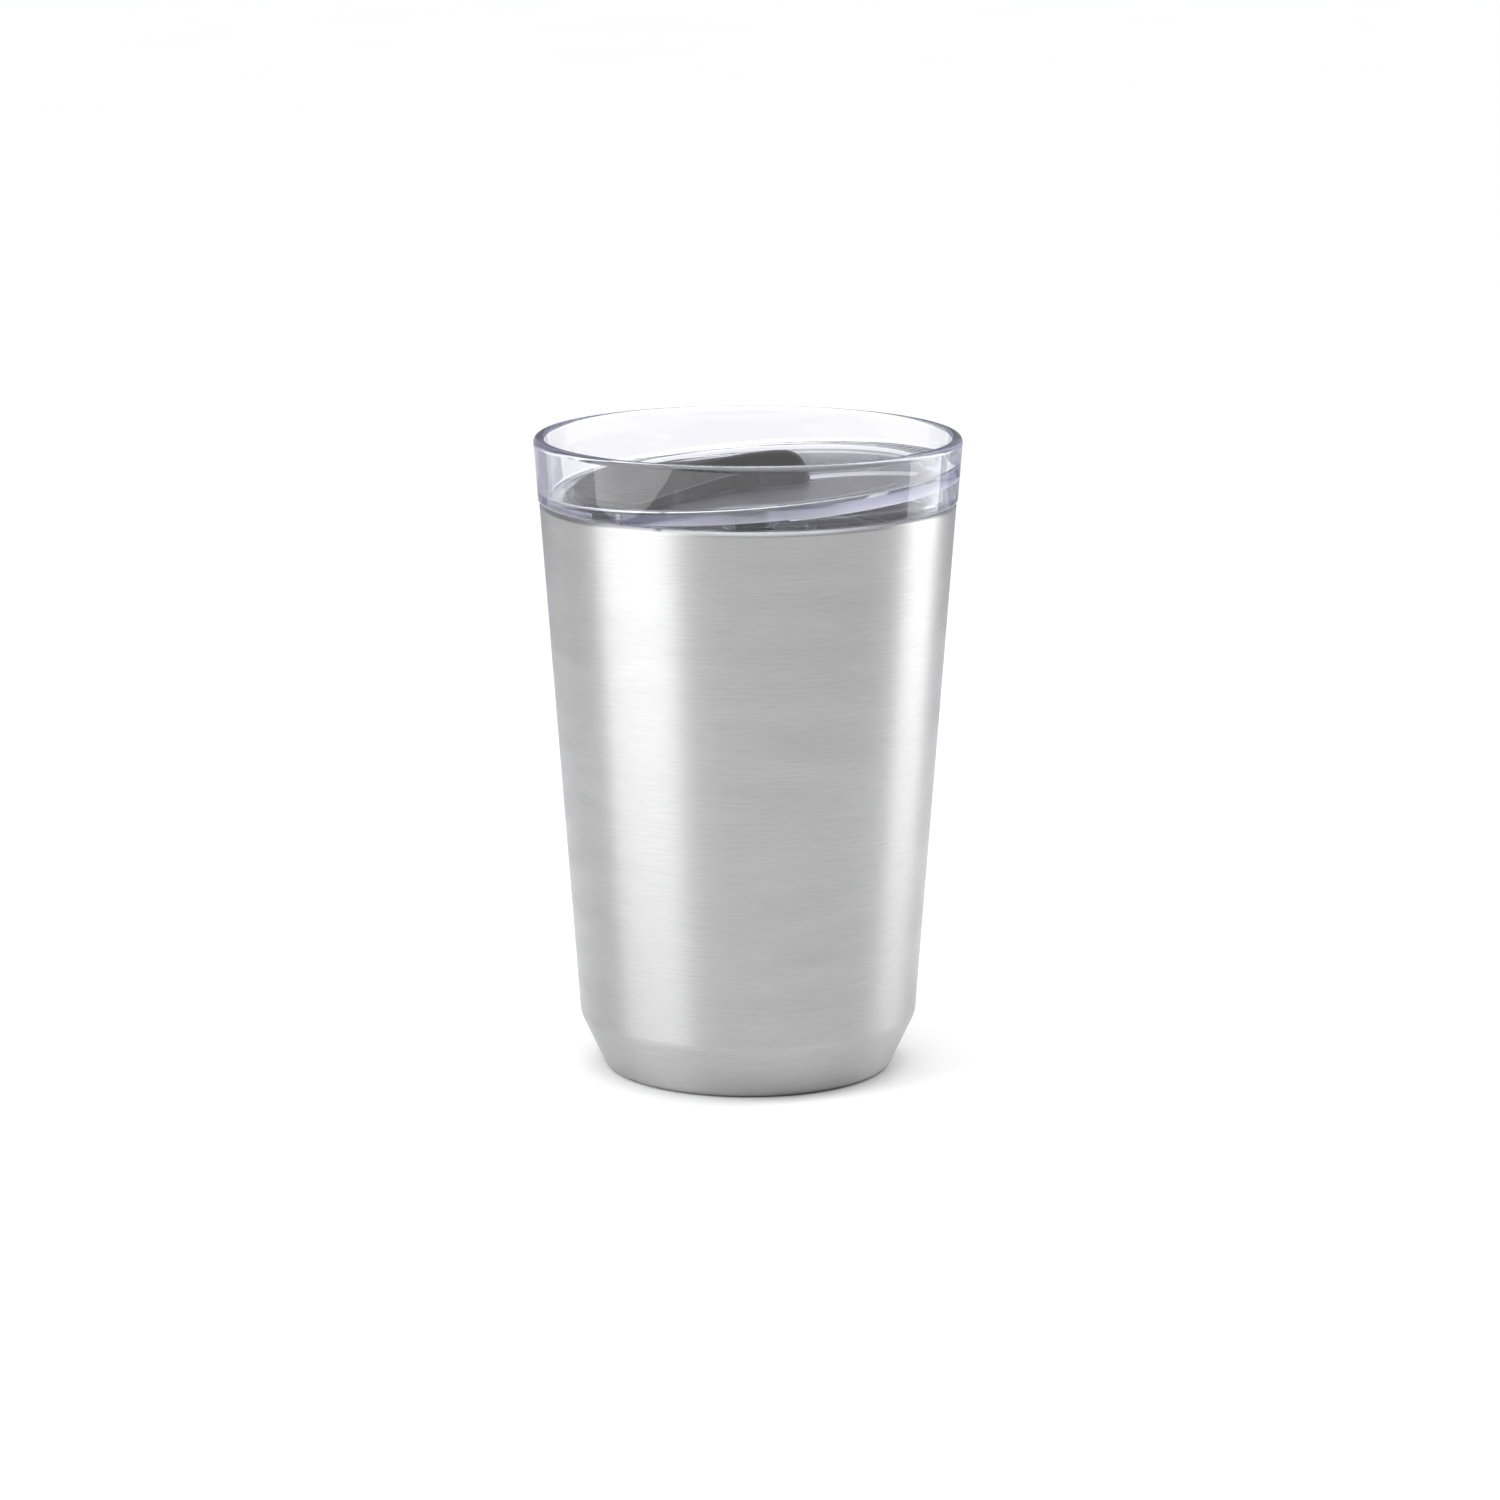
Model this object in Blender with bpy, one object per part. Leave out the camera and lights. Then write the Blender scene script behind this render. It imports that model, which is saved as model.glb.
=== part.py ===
"""Insulated tumbler with a clear screw lid and a turning plug.

A drawn steel shell and a drawn steel liner are joined at the mouth, with a vacuum between them. The clear
lid is one moulding: an open collar to drink from, a slanted floor, and a threaded skirt that screws into
the liner's neck. A grey plug lies in a round recess of the slanted floor and turns about its own stem, to
cover the drinking port at the floor's low side or to leave it open.

Every value is in millimetres and is scaled to metres by MM. +Z is up, and the origin is the centre of the
foot ring that the tumbler stands on. A profile is a list of (radius, height) points.
"""

import math

import bmesh
import bpy
from mathutils import Matrix, Vector

MM = 0.001

# Overall sizes
RIM_RADIUS = 45.0
OVERALL_HEIGHT = 135.0
ROUND_STEPS = 64  # flat sides round each turned piece
SMALL_STEPS = 32  # flat sides round the small pieces
GAP = 0.3  # between pieces that touch on the real object

# Steel body
COLLAR_HEIGHT = 13.7  # from the mouth to the lid's rim
MOUTH_HEIGHT = OVERALL_HEIGHT - COLLAR_HEIGHT
COLLAR_FLARE = 1.0  # how far the collar widens from its foot to the rim
LID_FOOT_RADIUS = RIM_RADIUS - COLLAR_FLARE
LID_OVERHANG = 0.3  # past the shell
MOUTH_RADIUS = LID_FOOT_RADIUS - LID_OVERHANG
WALL_FOOT_HEIGHT = 11.6  # where the tapered wall turns into the chamfer
WALL_FOOT_RADIUS = 35.7
CHAMFER_ANGLE = math.radians(25)  # from the vertical
FOOT_CORNER = 2.3
BREAK_CORNER = 5.0  # the soft turn between wall and chamfer
STEEL = 0.5
FOOT_RING_WIDTH = 1.8

# Liner: a neck for the lid, a shoulder, then a wall that follows the shell across the vacuum
MOUTH_LAND = 3.3  # the steel's width across the mouth
NECK_RADIUS = MOUTH_RADIUS - MOUTH_LAND
NECK_MARGIN = 0.9  # how far the neck reaches below the lid's skirt
SHOULDER_DROP = 4.5
VACUUM_GAP = 3.1
LINER_FLOOR_HEIGHT = 7.0
LINER_CORNER = 7.0

# Base
BASE_PLATE_HEIGHT = 1.5
BASE_FLANGE_DEPTH = 1.1
SEAL_BEAD_RADIUS = 0.8
COVER_MARGIN = 5.73  # from the cover disc to the bottom cap's edge
COVER_STEEL = 0.4
GETTER_RADIUS = 4.0
GETTER_HEIGHT = 1.6
GETTER_OFFSET = 12.0
GETTER_STRAP = 0.3
FOIL = 0.12

# Lid moulding
LID_WALL = 2.6
LID_FOOT_CHAMFER = 0.6
RIM_ROUND = 1.25
UNDER_LEDGE = 3.6  # from the collar's foot to the hollow under the slanted floor
FLANGE = 1.9
SKIRT_CLEARANCE = 1.6
SKIRT_RADIUS = NECK_RADIUS - SKIRT_CLEARANCE
SKIRT_WALL = 1.7
SKIRT_DEPTH = 10.7
GROOVE_DEPTH = 0.8
GASKET_HEIGHT = 1.9

# Slanted floor
FLOOR_RISE = 5.1  # of the ledge over the mouth, at the axis
FLOOR_HEIGHT = MOUTH_HEIGHT + FLOOR_RISE
FLOOR_SLOPE = math.radians(4.4)
UPHILL = math.radians(8)  # azimuth of the floor's high side
FLOOR_THICKNESS = 3.1
FLOOR_FILLET = 0.7
LEDGE_WIDTH = 4.76
RECESS_DEPTH = 0.9
PORT_INSET = 9.5  # from the recess's edge to the middle of the drinking port
PORT_WIDTH = 7.0
PORT_HALF_ANGLE = math.radians(20)
STEM_RADIUS = 3.4
STEM_CLEARANCE = 0.3
STEM_HOLE_RADIUS = STEM_RADIUS + STEM_CLEARANCE
BOSS_WALL = 2.3
BOSS_RADIUS = STEM_HOLE_RADIUS + BOSS_WALL
BOSS_DEPTH = 5.5  # below the floor's underside
RIB_THICKNESS = 1.3
RIB_LENGTH = 8.5
RIB_DEPTH = 8.0
RIB_ANGLE = math.radians(28)  # either side of the boss's uphill side

# Screw thread, two starts
THREAD_LEAD = 7.0
THREAD_STARTS = 2
RIDGE_BASE = 1.4
RIDGE_CREST = 0.8
CREST_CLEARANCE = 0.4  # from the lid's ridges to the neck
LID_CREST_RADIUS = NECK_RADIUS - CREST_CLEARANCE
NECK_RIDGE_HEIGHT = 0.9
NECK_CREST_RADIUS = NECK_RADIUS - NECK_RIDGE_HEIGHT
THREAD_BOTTOM = 9.3  # of the lowest ridge's middle, below the mouth
LID_RIDGE_ARC = math.radians(257)
NECK_RIDGE_ARC = math.radians(278)
NECK_RIDGE_START = math.radians(-80)
DEGREES_PER_STEP = 10

# Plug: a flat round end over the port, drawn in to a waist, and humped for the fingers
PLATE_THICKNESS = 1.5
PLATE_EDGE_GAP = 0.4
ROUND_END_HALF_ANGLE = math.radians(45)
WAIST_AT = -3.0  # along the plug from its stem, away from the port
WAIST_HALF_WIDTH = 10.5
TAPER_EASE = 1.2
CORNER_CRISPNESS = 30.0  # of the corners between the round end and the taper
TAIL_AT = 7.0
TAIL_HALF_WIDTH = 13.5
TAIL_END = 12.0
HUMP_INSET = 6.0  # from the recess's edge to where the hump starts to rise
HUMP_PEAK_AT = 3.0
HUMP_HEIGHT = 3.45  # of the ridge, over the plate
SHOULDER_INSET = 10.0
SHOULDER_HEIGHT = 1.7  # of the sides, over the plate
EDGE_ROUND = 0.4
PLUG_STEPS = 9
STEM_NECK_RADIUS = 2.2
RETAINER_WALL = 2.3
RETAINER_HEIGHT = 3.2
RING_SECTION = 0.55  # radius of the stem's O-ring
SEAL_MARGIN = 2.6  # how far the port seal reaches past the port
SEAL_THICKNESS = 0.8


def axes_to_floor():
    """From the slanted floor's own frame to the tumbler's: x runs uphill, z is the floor's normal."""
    turn = Matrix.Rotation(UPHILL, 4, "Z") @ Matrix.Rotation(-FLOOR_SLOPE, 4, "Y")
    return Matrix.Translation((0, 0, FLOOR_HEIGHT * MM)) @ turn


def arc(centre, radius, start, end, steps):
    """Points on a circle from one angle to another, both included."""
    return [
        (
            centre[0] + radius * math.cos(start + (end - start) * i / steps),
            centre[1] + radius * math.sin(start + (end - start) * i / steps),
        )
        for i in range(steps + 1)
    ]


def rounded(before, corner, after, radius, steps=4):
    """The corner of a profile, replaced by an arc that is tangent to both of its sides."""
    here = Vector(corner)
    back = (Vector(before) - here).normalized()
    ahead = (Vector(after) - here).normalized()
    half = back.angle(ahead) / 2
    centre = here + (back + ahead).normalized() * radius / math.sin(half)
    first = here + back * radius / math.tan(half) - centre
    last = here + ahead * radius / math.tan(half) - centre
    sweep = first.angle_signed(last)
    return [
        tuple(centre + Matrix.Rotation(-sweep * i / steps, 2) @ first)
        for i in range(steps + 1)
    ]


def thickened(skin, wall):
    """A closed outline from an open skin: the skin, and the same line a wall's thickness to its right."""
    points = [Vector(point) for point in skin]
    inner = []
    for i, point in enumerate(points):
        before = (point - points[i - 1]).normalized() if i else None
        after = (points[i + 1] - point).normalized() if i + 1 < len(points) else None
        before, after = before or after, after or before
        side = Vector((before.y, -before.x)) + Vector((after.y, -after.x))
        reach = wall / (side.normalized().dot(Vector((before.y, -before.x))))
        inner.append(tuple(point + side.normalized() * reach))
    return list(skin) + inner[::-1]


def finished(name, mesh, material):
    """Fills a bmesh into a named object with smooth round faces and crisp edges."""
    bmesh.ops.recalc_face_normals(mesh, faces=mesh.faces)
    data = bpy.data.meshes.new(name)
    mesh.to_mesh(data)
    mesh.free()
    data.shade_smooth()
    data.set_sharp_from_angle(angle=math.radians(32))
    if material:
        data.materials.append(material)
    made = bpy.data.objects.new(name, data)
    bpy.context.scene.collection.objects.link(made)
    return made


def turned_mesh(outline, steps=ROUND_STEPS):
    """A closed outline turned round the Z axis."""
    mesh = bmesh.new()
    corners = [mesh.verts.new((r * MM, 0, z * MM)) for r, z in outline]
    edges = []
    for i, corner in enumerate(corners):
        following = (i + 1) % len(corners)
        if outline[i][0] > 1e-6 or outline[following][0] > 1e-6:
            edges.append(mesh.edges.new((corner, corners[following])))
    bmesh.ops.spin(
        mesh, geom=corners + edges, axis=(0, 0, 1), angle=2 * math.pi, steps=steps, use_merge=True
    )
    bmesh.ops.remove_doubles(mesh, verts=mesh.verts, dist=1e-7)
    return mesh


def turned(name, outline, material, steps=ROUND_STEPS):
    return finished(name, turned_mesh(outline, steps), material)


def slab(name, outline, low, high, material=None):
    """A flat outline of (x, y) points, raised from one height to another."""
    mesh = bmesh.new()
    face = mesh.faces.new([mesh.verts.new((x * MM, y * MM, low * MM)) for x, y in outline])
    raised = bmesh.ops.extrude_face_region(mesh, geom=[face])["geom"]
    tops = [part for part in raised if isinstance(part, bmesh.types.BMVert)]
    bmesh.ops.translate(mesh, verts=tops, vec=(0, 0, (high - low) * MM))
    return finished(name, mesh, material)


def helper(made):
    """Keeps a cutter or a shape that is joined to another out of the model."""
    made.hide_render = True
    made.display_type = "WIRE"
    return made


def combine(target, other, operation):
    modifier = target.modifiers.new(operation.lower() + "_" + other.name, "BOOLEAN")
    modifier.operation = operation
    modifier.object = helper(other)
    return target


def cut_by_floor(mesh, depth, keep_above):
    """Cuts a mesh along the slanted floor's plane, a depth below the ledge, and closes the cut."""
    frame = axes_to_floor()
    normal = (frame.to_3x3() @ Vector((0, 0, 1))).normalized()
    point = frame @ Vector((0, 0, -depth * MM))
    geometry = mesh.verts[:] + mesh.edges[:] + mesh.faces[:]
    cut = bmesh.ops.bisect_plane(
        mesh,
        geom=geometry,
        plane_co=point,
        plane_no=normal,
        clear_inner=keep_above,
        clear_outer=not keep_above,
    )["geom_cut"]
    rim = [part for part in cut if isinstance(part, bmesh.types.BMEdge)]
    bmesh.ops.contextual_create(mesh, geom=rim)
    return rim


def steel(name, roughness):
    return material(name, (0.62, 0.62, 0.61, 1), roughness, 1.0)


def material(name, colour, roughness, metallic=0.0, transmission=0.0):
    made = bpy.data.materials.new(name)
    made.use_nodes = True
    shader = made.node_tree.nodes["Principled BSDF"]
    shader.inputs["Base Color"].default_value = colour
    shader.inputs["Roughness"].default_value = roughness
    shader.inputs["Metallic"].default_value = metallic
    shader.inputs["Transmission Weight"].default_value = transmission
    made.diffuse_color = colour
    return made


# Steel body


def wall_radius(height):
    """Outer radius of the shell's tapered wall."""
    share = (height - WALL_FOOT_HEIGHT) / (MOUTH_HEIGHT - WALL_FOOT_HEIGHT)
    return WALL_FOOT_RADIUS + (MOUTH_RADIUS - WALL_FOOT_RADIUS) * share


def foot_corner_centre():
    """(radius, height) of the middle of the corner between chamfer and foot ring."""
    lean = math.sin(CHAMFER_ANGLE)
    tangent_height = FOOT_CORNER * (1 - lean)
    tangent_radius = WALL_FOOT_RADIUS - (WALL_FOOT_HEIGHT - tangent_height) * math.tan(CHAMFER_ANGLE)
    return tangent_radius - FOOT_CORNER * math.cos(CHAMFER_ANGLE), FOOT_CORNER


def foot_ring_inner():
    return foot_corner_centre()[0] - FOOT_RING_WIDTH


def outer_shell(metal):
    """The drawn outer wall: turned in at the mouth, tapered, chamfered, and rolled into the foot ring."""
    mouth = (MOUTH_RADIUS, MOUTH_HEIGHT)
    seam = (NECK_RADIUS + STEEL + GAP, MOUTH_HEIGHT)
    break_point = (WALL_FOOT_RADIUS, WALL_FOOT_HEIGHT)
    centre = foot_corner_centre()
    foot = arc(centre, FOOT_CORNER, -CHAMFER_ANGLE, -math.pi / 2, 5)
    skin = (
        [seam]
        + rounded(seam, mouth, break_point, 0.9, 3)
        + rounded(mouth, break_point, foot[0], BREAK_CORNER, 4)
        + foot
        + [(foot_ring_inner(), 0.0)]
    )
    return turned("outer_shell", thickened(skin, STEEL), metal)


def liner_radius(height):
    """Outer radius of the liner's wall, across the vacuum from the shell."""
    return wall_radius(height) - STEEL - VACUUM_GAP


def liner_shoulder():
    """Heights of the top and bottom of the slope between the neck and the wall."""
    top = MOUTH_HEIGHT - SKIRT_DEPTH - NECK_MARGIN
    return top, top - SHOULDER_DROP


def inner_liner(metal):
    """The cup that holds the drink, with two thread ridges rolled into its neck."""
    neck = NECK_RADIUS + STEEL
    top, bottom = liner_shoulder()
    mouth = (neck, MOUTH_HEIGHT)
    neck_foot = (neck, top)
    wall_top = (liner_radius(bottom), bottom)
    corner = (liner_radius(LINER_FLOOR_HEIGHT), LINER_FLOOR_HEIGHT)
    centre = (0.0, LINER_FLOOR_HEIGHT)
    skin = (
        [mouth]
        + rounded(mouth, neck_foot, wall_top, 1.0, 2)
        + rounded(neck_foot, wall_top, corner, 2.5, 3)
        + rounded(wall_top, corner, centre, LINER_CORNER, 6)
        + [centre]
    )
    liner = turned("inner_liner", thickened(skin, STEEL), metal)
    for start in range(THREAD_STARTS):
        ridge = thread_ridge(
            f"neck_ridge_{start}",
            root=NECK_RADIUS + STEEL / 2,
            crest=NECK_CREST_RADIUS,
            start=start,
            first=NECK_RIDGE_START,
            sweep=NECK_RIDGE_ARC,
            rise=THREAD_LEAD / THREAD_STARTS / 2,
        )
        combine(liner, ridge, "UNION")
    return liner


def thread_ridge(name, root, crest, start, first, sweep, rise):
    """One helical ridge. rise lifts the neck's ridges by half a pitch, so that they run between the lid's."""
    mesh = bmesh.new()
    steps = round(math.degrees(sweep) / DEGREES_PER_STEP)
    rings = []
    for i in range(steps + 1):
        angle = first + sweep * i / steps
        middle = MOUTH_HEIGHT - THREAD_BOTTOM + rise + THREAD_LEAD * angle / (2 * math.pi)
        fade = min(1.0, i / 2, (steps - i) / 2)  # the ridge runs out into the wall at both ends
        top = root + (crest - root) * max(fade, 0.15)
        section = [
            (root, -RIDGE_BASE / 2),
            (top, -RIDGE_CREST / 2),
            (top, RIDGE_CREST / 2),
            (root, RIDGE_BASE / 2),
        ]
        turn = angle + 2 * math.pi * start / THREAD_STARTS
        rings.append(
            [
                mesh.verts.new((r * math.cos(turn) * MM, r * math.sin(turn) * MM, (middle + z) * MM))
                for r, z in section
            ]
        )
    for near, far in zip(rings, rings[1:]):
        for k in range(4):
            mesh.faces.new((near[k], near[(k + 1) % 4], far[(k + 1) % 4], far[k]))
    mesh.faces.new(rings[0])
    mesh.faces.new(rings[-1])
    return finished(name, mesh, None)


def bottom_cap(metal):
    """The pan that closes the vacuum from below, with the hole that the air was drawn out of."""
    edge = foot_ring_inner() - GAP
    skin = [
        (SEAL_BEAD_RADIUS + GAP, BASE_PLATE_HEIGHT + STEEL),
        (edge - 1.5, BASE_PLATE_HEIGHT + STEEL),
        (edge, BASE_PLATE_HEIGHT - 0.2),
        (edge, BASE_PLATE_HEIGHT - BASE_FLANGE_DEPTH),
    ]
    return turned("bottom_cap", thickened(skin, STEEL), metal)


def seal_bead(glass):
    """The drop of solder glass that closes the hole in the bottom cap."""
    low = BASE_PLATE_HEIGHT - 0.1
    high = BASE_PLATE_HEIGHT + STEEL + 0.4
    outline = [
        (0.0, low),
        (SEAL_BEAD_RADIUS, low),
        (SEAL_BEAD_RADIUS, high - 0.4),
        (SEAL_BEAD_RADIUS * 0.7, high - 0.1),
        (0.0, high),
    ]
    return turned("vacuum_seal_bead", outline, glass, SMALL_STEPS)


def base_cover(metal):
    """The thin disc that hides the seal, its edge dished up towards the cap."""
    high = BASE_PLATE_HEIGHT - 0.1 - GAP
    edge = foot_ring_inner() - GAP - COVER_MARGIN
    skin = [
        (0.0, high),
        (edge - 2.5, high),
        (edge - 1.5, high - 0.2),
        (edge, high - 0.2),
    ]
    return turned("base_cover_disc", thickened(skin, COVER_STEEL), metal)


def getter(pellet, metal):
    """The pellet that keeps the vacuum clean, and the strap that holds it on the bottom cap."""
    floor = BASE_PLATE_HEIGHT + STEEL + GAP
    outline = [
        (0.0, floor),
        (GETTER_RADIUS, floor),
        (GETTER_RADIUS, floor + GETTER_HEIGHT),
        (0.0, floor + GETTER_HEIGHT),
    ]
    button = turned("getter_pellet", outline, pellet, SMALL_STEPS)
    button.location.x = GETTER_OFFSET * MM

    reach = GETTER_RADIUS + GAP
    over = floor + GETTER_HEIGHT + GAP
    line = [
        (-reach - 3.0, floor),
        (-reach - GETTER_STRAP, floor),
        (-reach - GETTER_STRAP, over),
        (reach + GETTER_STRAP, over),
        (reach + GETTER_STRAP, floor),
        (reach + 3.0, floor),
    ]
    closed = thickened(line[::-1], GETTER_STRAP)
    strap = slab("getter_strap", closed, -2.0, 2.0, metal)
    strap.rotation_euler.x = math.pi / 2
    strap.location.x = GETTER_OFFSET * MM
    return button, strap


def foil_shields(copper):
    """Bright copper foil on the vacuum side of the liner: a sleeve round its wall, a disc under its floor."""
    bottom = LINER_FLOOR_HEIGHT + LINER_CORNER + 1.0
    top = liner_shoulder()[1] - 2.0
    away = GAP + FOIL
    skin = [(liner_radius(top) + away, top), (liner_radius(bottom) + away, bottom)]
    turned("foil_sleeve", thickened(skin, FOIL), copper)

    under = LINER_FLOOR_HEIGHT - GAP
    edge = liner_radius(LINER_FLOOR_HEIGHT) - LINER_CORNER
    disc = [(0.0, under - FOIL), (edge, under - FOIL), (edge, under), (0.0, under)]
    turned("foil_disc", disc, copper)


# Lid


def flange_foot():
    """Height of the collar's underside, just clear of the mouth."""
    return MOUTH_HEIGHT + GAP


def collar_radius(height):
    """Outer radius of the collar."""
    share = (height - flange_foot()) / (OVERALL_HEIGHT - flange_foot())
    return LID_FOOT_RADIUS + COLLAR_FLARE * share


def recess_radius():
    """Of the round recess that the plug turns in, inside the ledge of the slanted floor."""
    return collar_radius(FLOOR_HEIGHT) - LID_WALL - LEDGE_WIDTH


def lid_blank():
    """The lid's outside as one solid: skirt, flange, collar and rounded rim."""
    foot = flange_foot()
    wall_foot = (LID_FOOT_RADIUS, foot + LID_FOOT_CHAMFER)
    rim = (RIM_RADIUS, OVERALL_HEIGHT)
    rim_inner = (RIM_RADIUS - LID_WALL, OVERALL_HEIGHT)
    groove_low = foot - GASKET_HEIGHT - 2 * GAP
    groove = SKIRT_RADIUS - GROOVE_DEPTH
    skirt_foot = MOUTH_HEIGHT - SKIRT_DEPTH
    return (
        [
            (0.0, skirt_foot),
            (SKIRT_RADIUS - 0.4, skirt_foot),
            (SKIRT_RADIUS, skirt_foot + 0.4),
            (SKIRT_RADIUS, groove_low),
            (groove, groove_low),
            (groove, foot),
            (LID_FOOT_RADIUS - LID_FOOT_CHAMFER, foot),
            wall_foot,
        ]
        + rounded(wall_foot, rim, rim_inner, RIM_ROUND, 4)
        + rounded(rim, rim_inner, (rim_inner[0] - 1.0, FLOOR_HEIGHT), RIM_ROUND, 4)[:-1]
        + [(rim_inner[0], OVERALL_HEIGHT - RIM_ROUND), (0.0, OVERALL_HEIGHT - RIM_ROUND)]
    )


def well_cutter():
    """The space above the slanted floor, with a fillet where it meets the floor."""
    top = RIM_RADIUS - LID_WALL
    foot = collar_radius(FLOOR_HEIGHT) - LID_WALL
    low = MOUTH_HEIGHT - 5.0
    outline = [
        (0.0, low),
        (foot, low),
        (foot, FLOOR_HEIGHT),
        (top, OVERALL_HEIGHT - RIM_ROUND),
        (top, OVERALL_HEIGHT + 2.0),
        (0.0, OVERALL_HEIGHT + 2.0),
    ]
    mesh = turned_mesh(outline)
    rim = cut_by_floor(mesh, 0.0, keep_above=True)
    bmesh.ops.bevel(
        mesh, geom=rim, offset=FLOOR_FILLET * MM, segments=3, profile=0.5, affect="EDGES"
    )
    return finished("well_cutter", mesh, None)


def hollow_cutter():
    """The space under the slanted floor, open down through the skirt."""
    skirt = SKIRT_RADIUS - SKIRT_WALL
    lower_wall = LID_FOOT_RADIUS - UNDER_LEDGE
    shelf = flange_foot() + FLANGE
    outline = [
        (0.0, MOUTH_HEIGHT - SKIRT_DEPTH - 2.0),
        (skirt, MOUTH_HEIGHT - SKIRT_DEPTH - 2.0),
        (skirt, shelf),
        (lower_wall, shelf),
        (lower_wall, OVERALL_HEIGHT),
        (0.0, OVERALL_HEIGHT),
    ]
    mesh = turned_mesh(outline)
    cut_by_floor(mesh, FLOOR_THICKNESS, keep_above=False)
    return finished("hollow_cutter", mesh, None)


def on_floor(made):
    """Places a shape that was made in the slanted floor's own frame."""
    made.matrix_world = axes_to_floor()
    return made


def port_outline(margin=0.0):
    """The drinking port seen from above: a bent slot with round ends."""
    half = PORT_WIDTH / 2 + margin
    middle = recess_radius() - PORT_INSET
    outer = arc((0, 0), middle + half, math.pi - PORT_HALF_ANGLE, math.pi + PORT_HALF_ANGLE, 8)
    inner = arc((0, 0), middle - half, math.pi + PORT_HALF_ANGLE, math.pi - PORT_HALF_ANGLE, 8)
    ends = []
    for angle, first in ((math.pi + PORT_HALF_ANGLE, 0.0), (math.pi - PORT_HALF_ANGLE, math.pi)):
        centre = (middle * math.cos(angle), middle * math.sin(angle))
        ends.append(arc(centre, half, angle + first, angle + first + math.pi, 6)[1:-1])
    return outer + ends[0] + inner + ends[1]


def lid_collar(clear):
    """The clear moulding: collar, slanted floor with its recess, port and boss, flange, skirt and thread."""
    lid = turned("lid_collar", lid_blank(), clear)
    combine(lid, well_cutter(), "DIFFERENCE")
    combine(lid, hollow_cutter(), "DIFFERENCE")

    boss_foot = -FLOOR_THICKNESS - BOSS_DEPTH
    boss_outline = [
        (0.0, boss_foot),
        (BOSS_RADIUS, boss_foot),
        (BOSS_RADIUS, -FLOOR_THICKNESS + 0.6),
        (0.0, -FLOOR_THICKNESS + 0.6),
    ]
    combine(lid, on_floor(turned("boss", boss_outline, None, SMALL_STEPS)), "UNION")
    for name, turn in (("rib_front", -RIB_ANGLE), ("rib_back", RIB_ANGLE)):
        outline = [
            (BOSS_RADIUS - 1.0, -RIB_THICKNESS / 2),
            (BOSS_RADIUS + RIB_LENGTH, -RIB_THICKNESS / 2),
            (BOSS_RADIUS + RIB_LENGTH, RIB_THICKNESS / 2),
            (BOSS_RADIUS - 1.0, RIB_THICKNESS / 2),
        ]
        rib = slab(name, outline, -FLOOR_THICKNESS - RIB_DEPTH, -FLOOR_THICKNESS + 0.4)
        rib.matrix_world = axes_to_floor() @ Matrix.Rotation(turn, 4, "Z")
        combine(lid, rib, "UNION")

    edge = recess_radius()
    recess = [(0.0, -RECESS_DEPTH), (edge, -RECESS_DEPTH), (edge, 3.0), (0.0, 3.0)]
    combine(lid, on_floor(turned("recess_cutter", recess, None)), "DIFFERENCE")
    hole = [(0.0, boss_foot - 2.0), (STEM_HOLE_RADIUS, boss_foot - 2.0), (STEM_HOLE_RADIUS, 3.0), (0.0, 3.0)]
    combine(lid, on_floor(turned("stem_hole_cutter", hole, None, SMALL_STEPS)), "DIFFERENCE")
    port = slab("port_cutter", port_outline(), -FLOOR_THICKNESS - 2.0, 3.0)
    combine(lid, on_floor(port), "DIFFERENCE")

    for start in range(THREAD_STARTS):
        ridge = thread_ridge(
            f"lid_ridge_{start}",
            root=SKIRT_RADIUS - 0.3,
            crest=LID_CREST_RADIUS,
            start=start,
            first=0.0,
            sweep=LID_RIDGE_ARC,
            rise=0.0,
        )
        combine(lid, ridge, "UNION")
    return lid


def lid_gasket(silicone):
    """The ring in the skirt's groove, with two soft ribs that press on the neck."""
    inner = SKIRT_RADIUS - GROOVE_DEPTH + GAP
    outer = NECK_RADIUS - GAP
    low = flange_foot() - GAP - GASKET_HEIGHT
    high = low + GASKET_HEIGHT
    valley = outer - 0.5
    outline = [
        (inner, low),
        (valley, low),
        (outer, low + 0.35),
        (valley, low + 0.8),
        (valley, high - 0.8),
        (outer, high - 0.35),
        (valley, high),
        (inner, high),
    ]
    return turned("lid_gasket", outline, silicone)


# Plug, all in the slanted floor's own frame


def plate_low():
    """Height of the plate's underside over the ledge's plane."""
    return -RECESS_DEPTH + GAP


def eased(value, start, end):
    """0 before the start, 1 past the end, and a smooth rise between them."""
    share = min(1.0, max(0.0, (value - start) / (end - start)))
    return math.sin(share * math.pi / 2) ** 1.5


def tail_fall(along, start):
    """1 before the start, then a rounded fall to 0 at the tail's end."""
    share = min(1.0, max(0.0, (along - start) / (TAIL_END - start)))
    return (1 - share**4) ** (1 / 4)


def plug_half_width(along):
    """The round end follows the recess, then eases into the waist; the tail widens and rounds off."""
    radius = recess_radius() - PLATE_EDGE_GAP
    corner = radius * math.cos(ROUND_END_HALF_ANGLE)
    if along < WAIST_AT:
        left = (WAIST_AT - along) / (WAIST_AT + corner)
        taper = WAIST_HALF_WIDTH + (corner - WAIST_HALF_WIDTH) * left**TAPER_EASE
        circle = math.sqrt(radius**2 - along**2)
        return (circle**-CORNER_CRISPNESS + taper**-CORNER_CRISPNESS) ** (-1 / CORNER_CRISPNESS)
    share = min(1.0, (along - WAIST_AT) / (TAIL_AT - WAIST_AT))
    width = WAIST_HALF_WIDTH + (TAIL_HALF_WIDTH - WAIST_HALF_WIDTH) * share
    return width * tail_fall(along, TAIL_AT)


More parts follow.
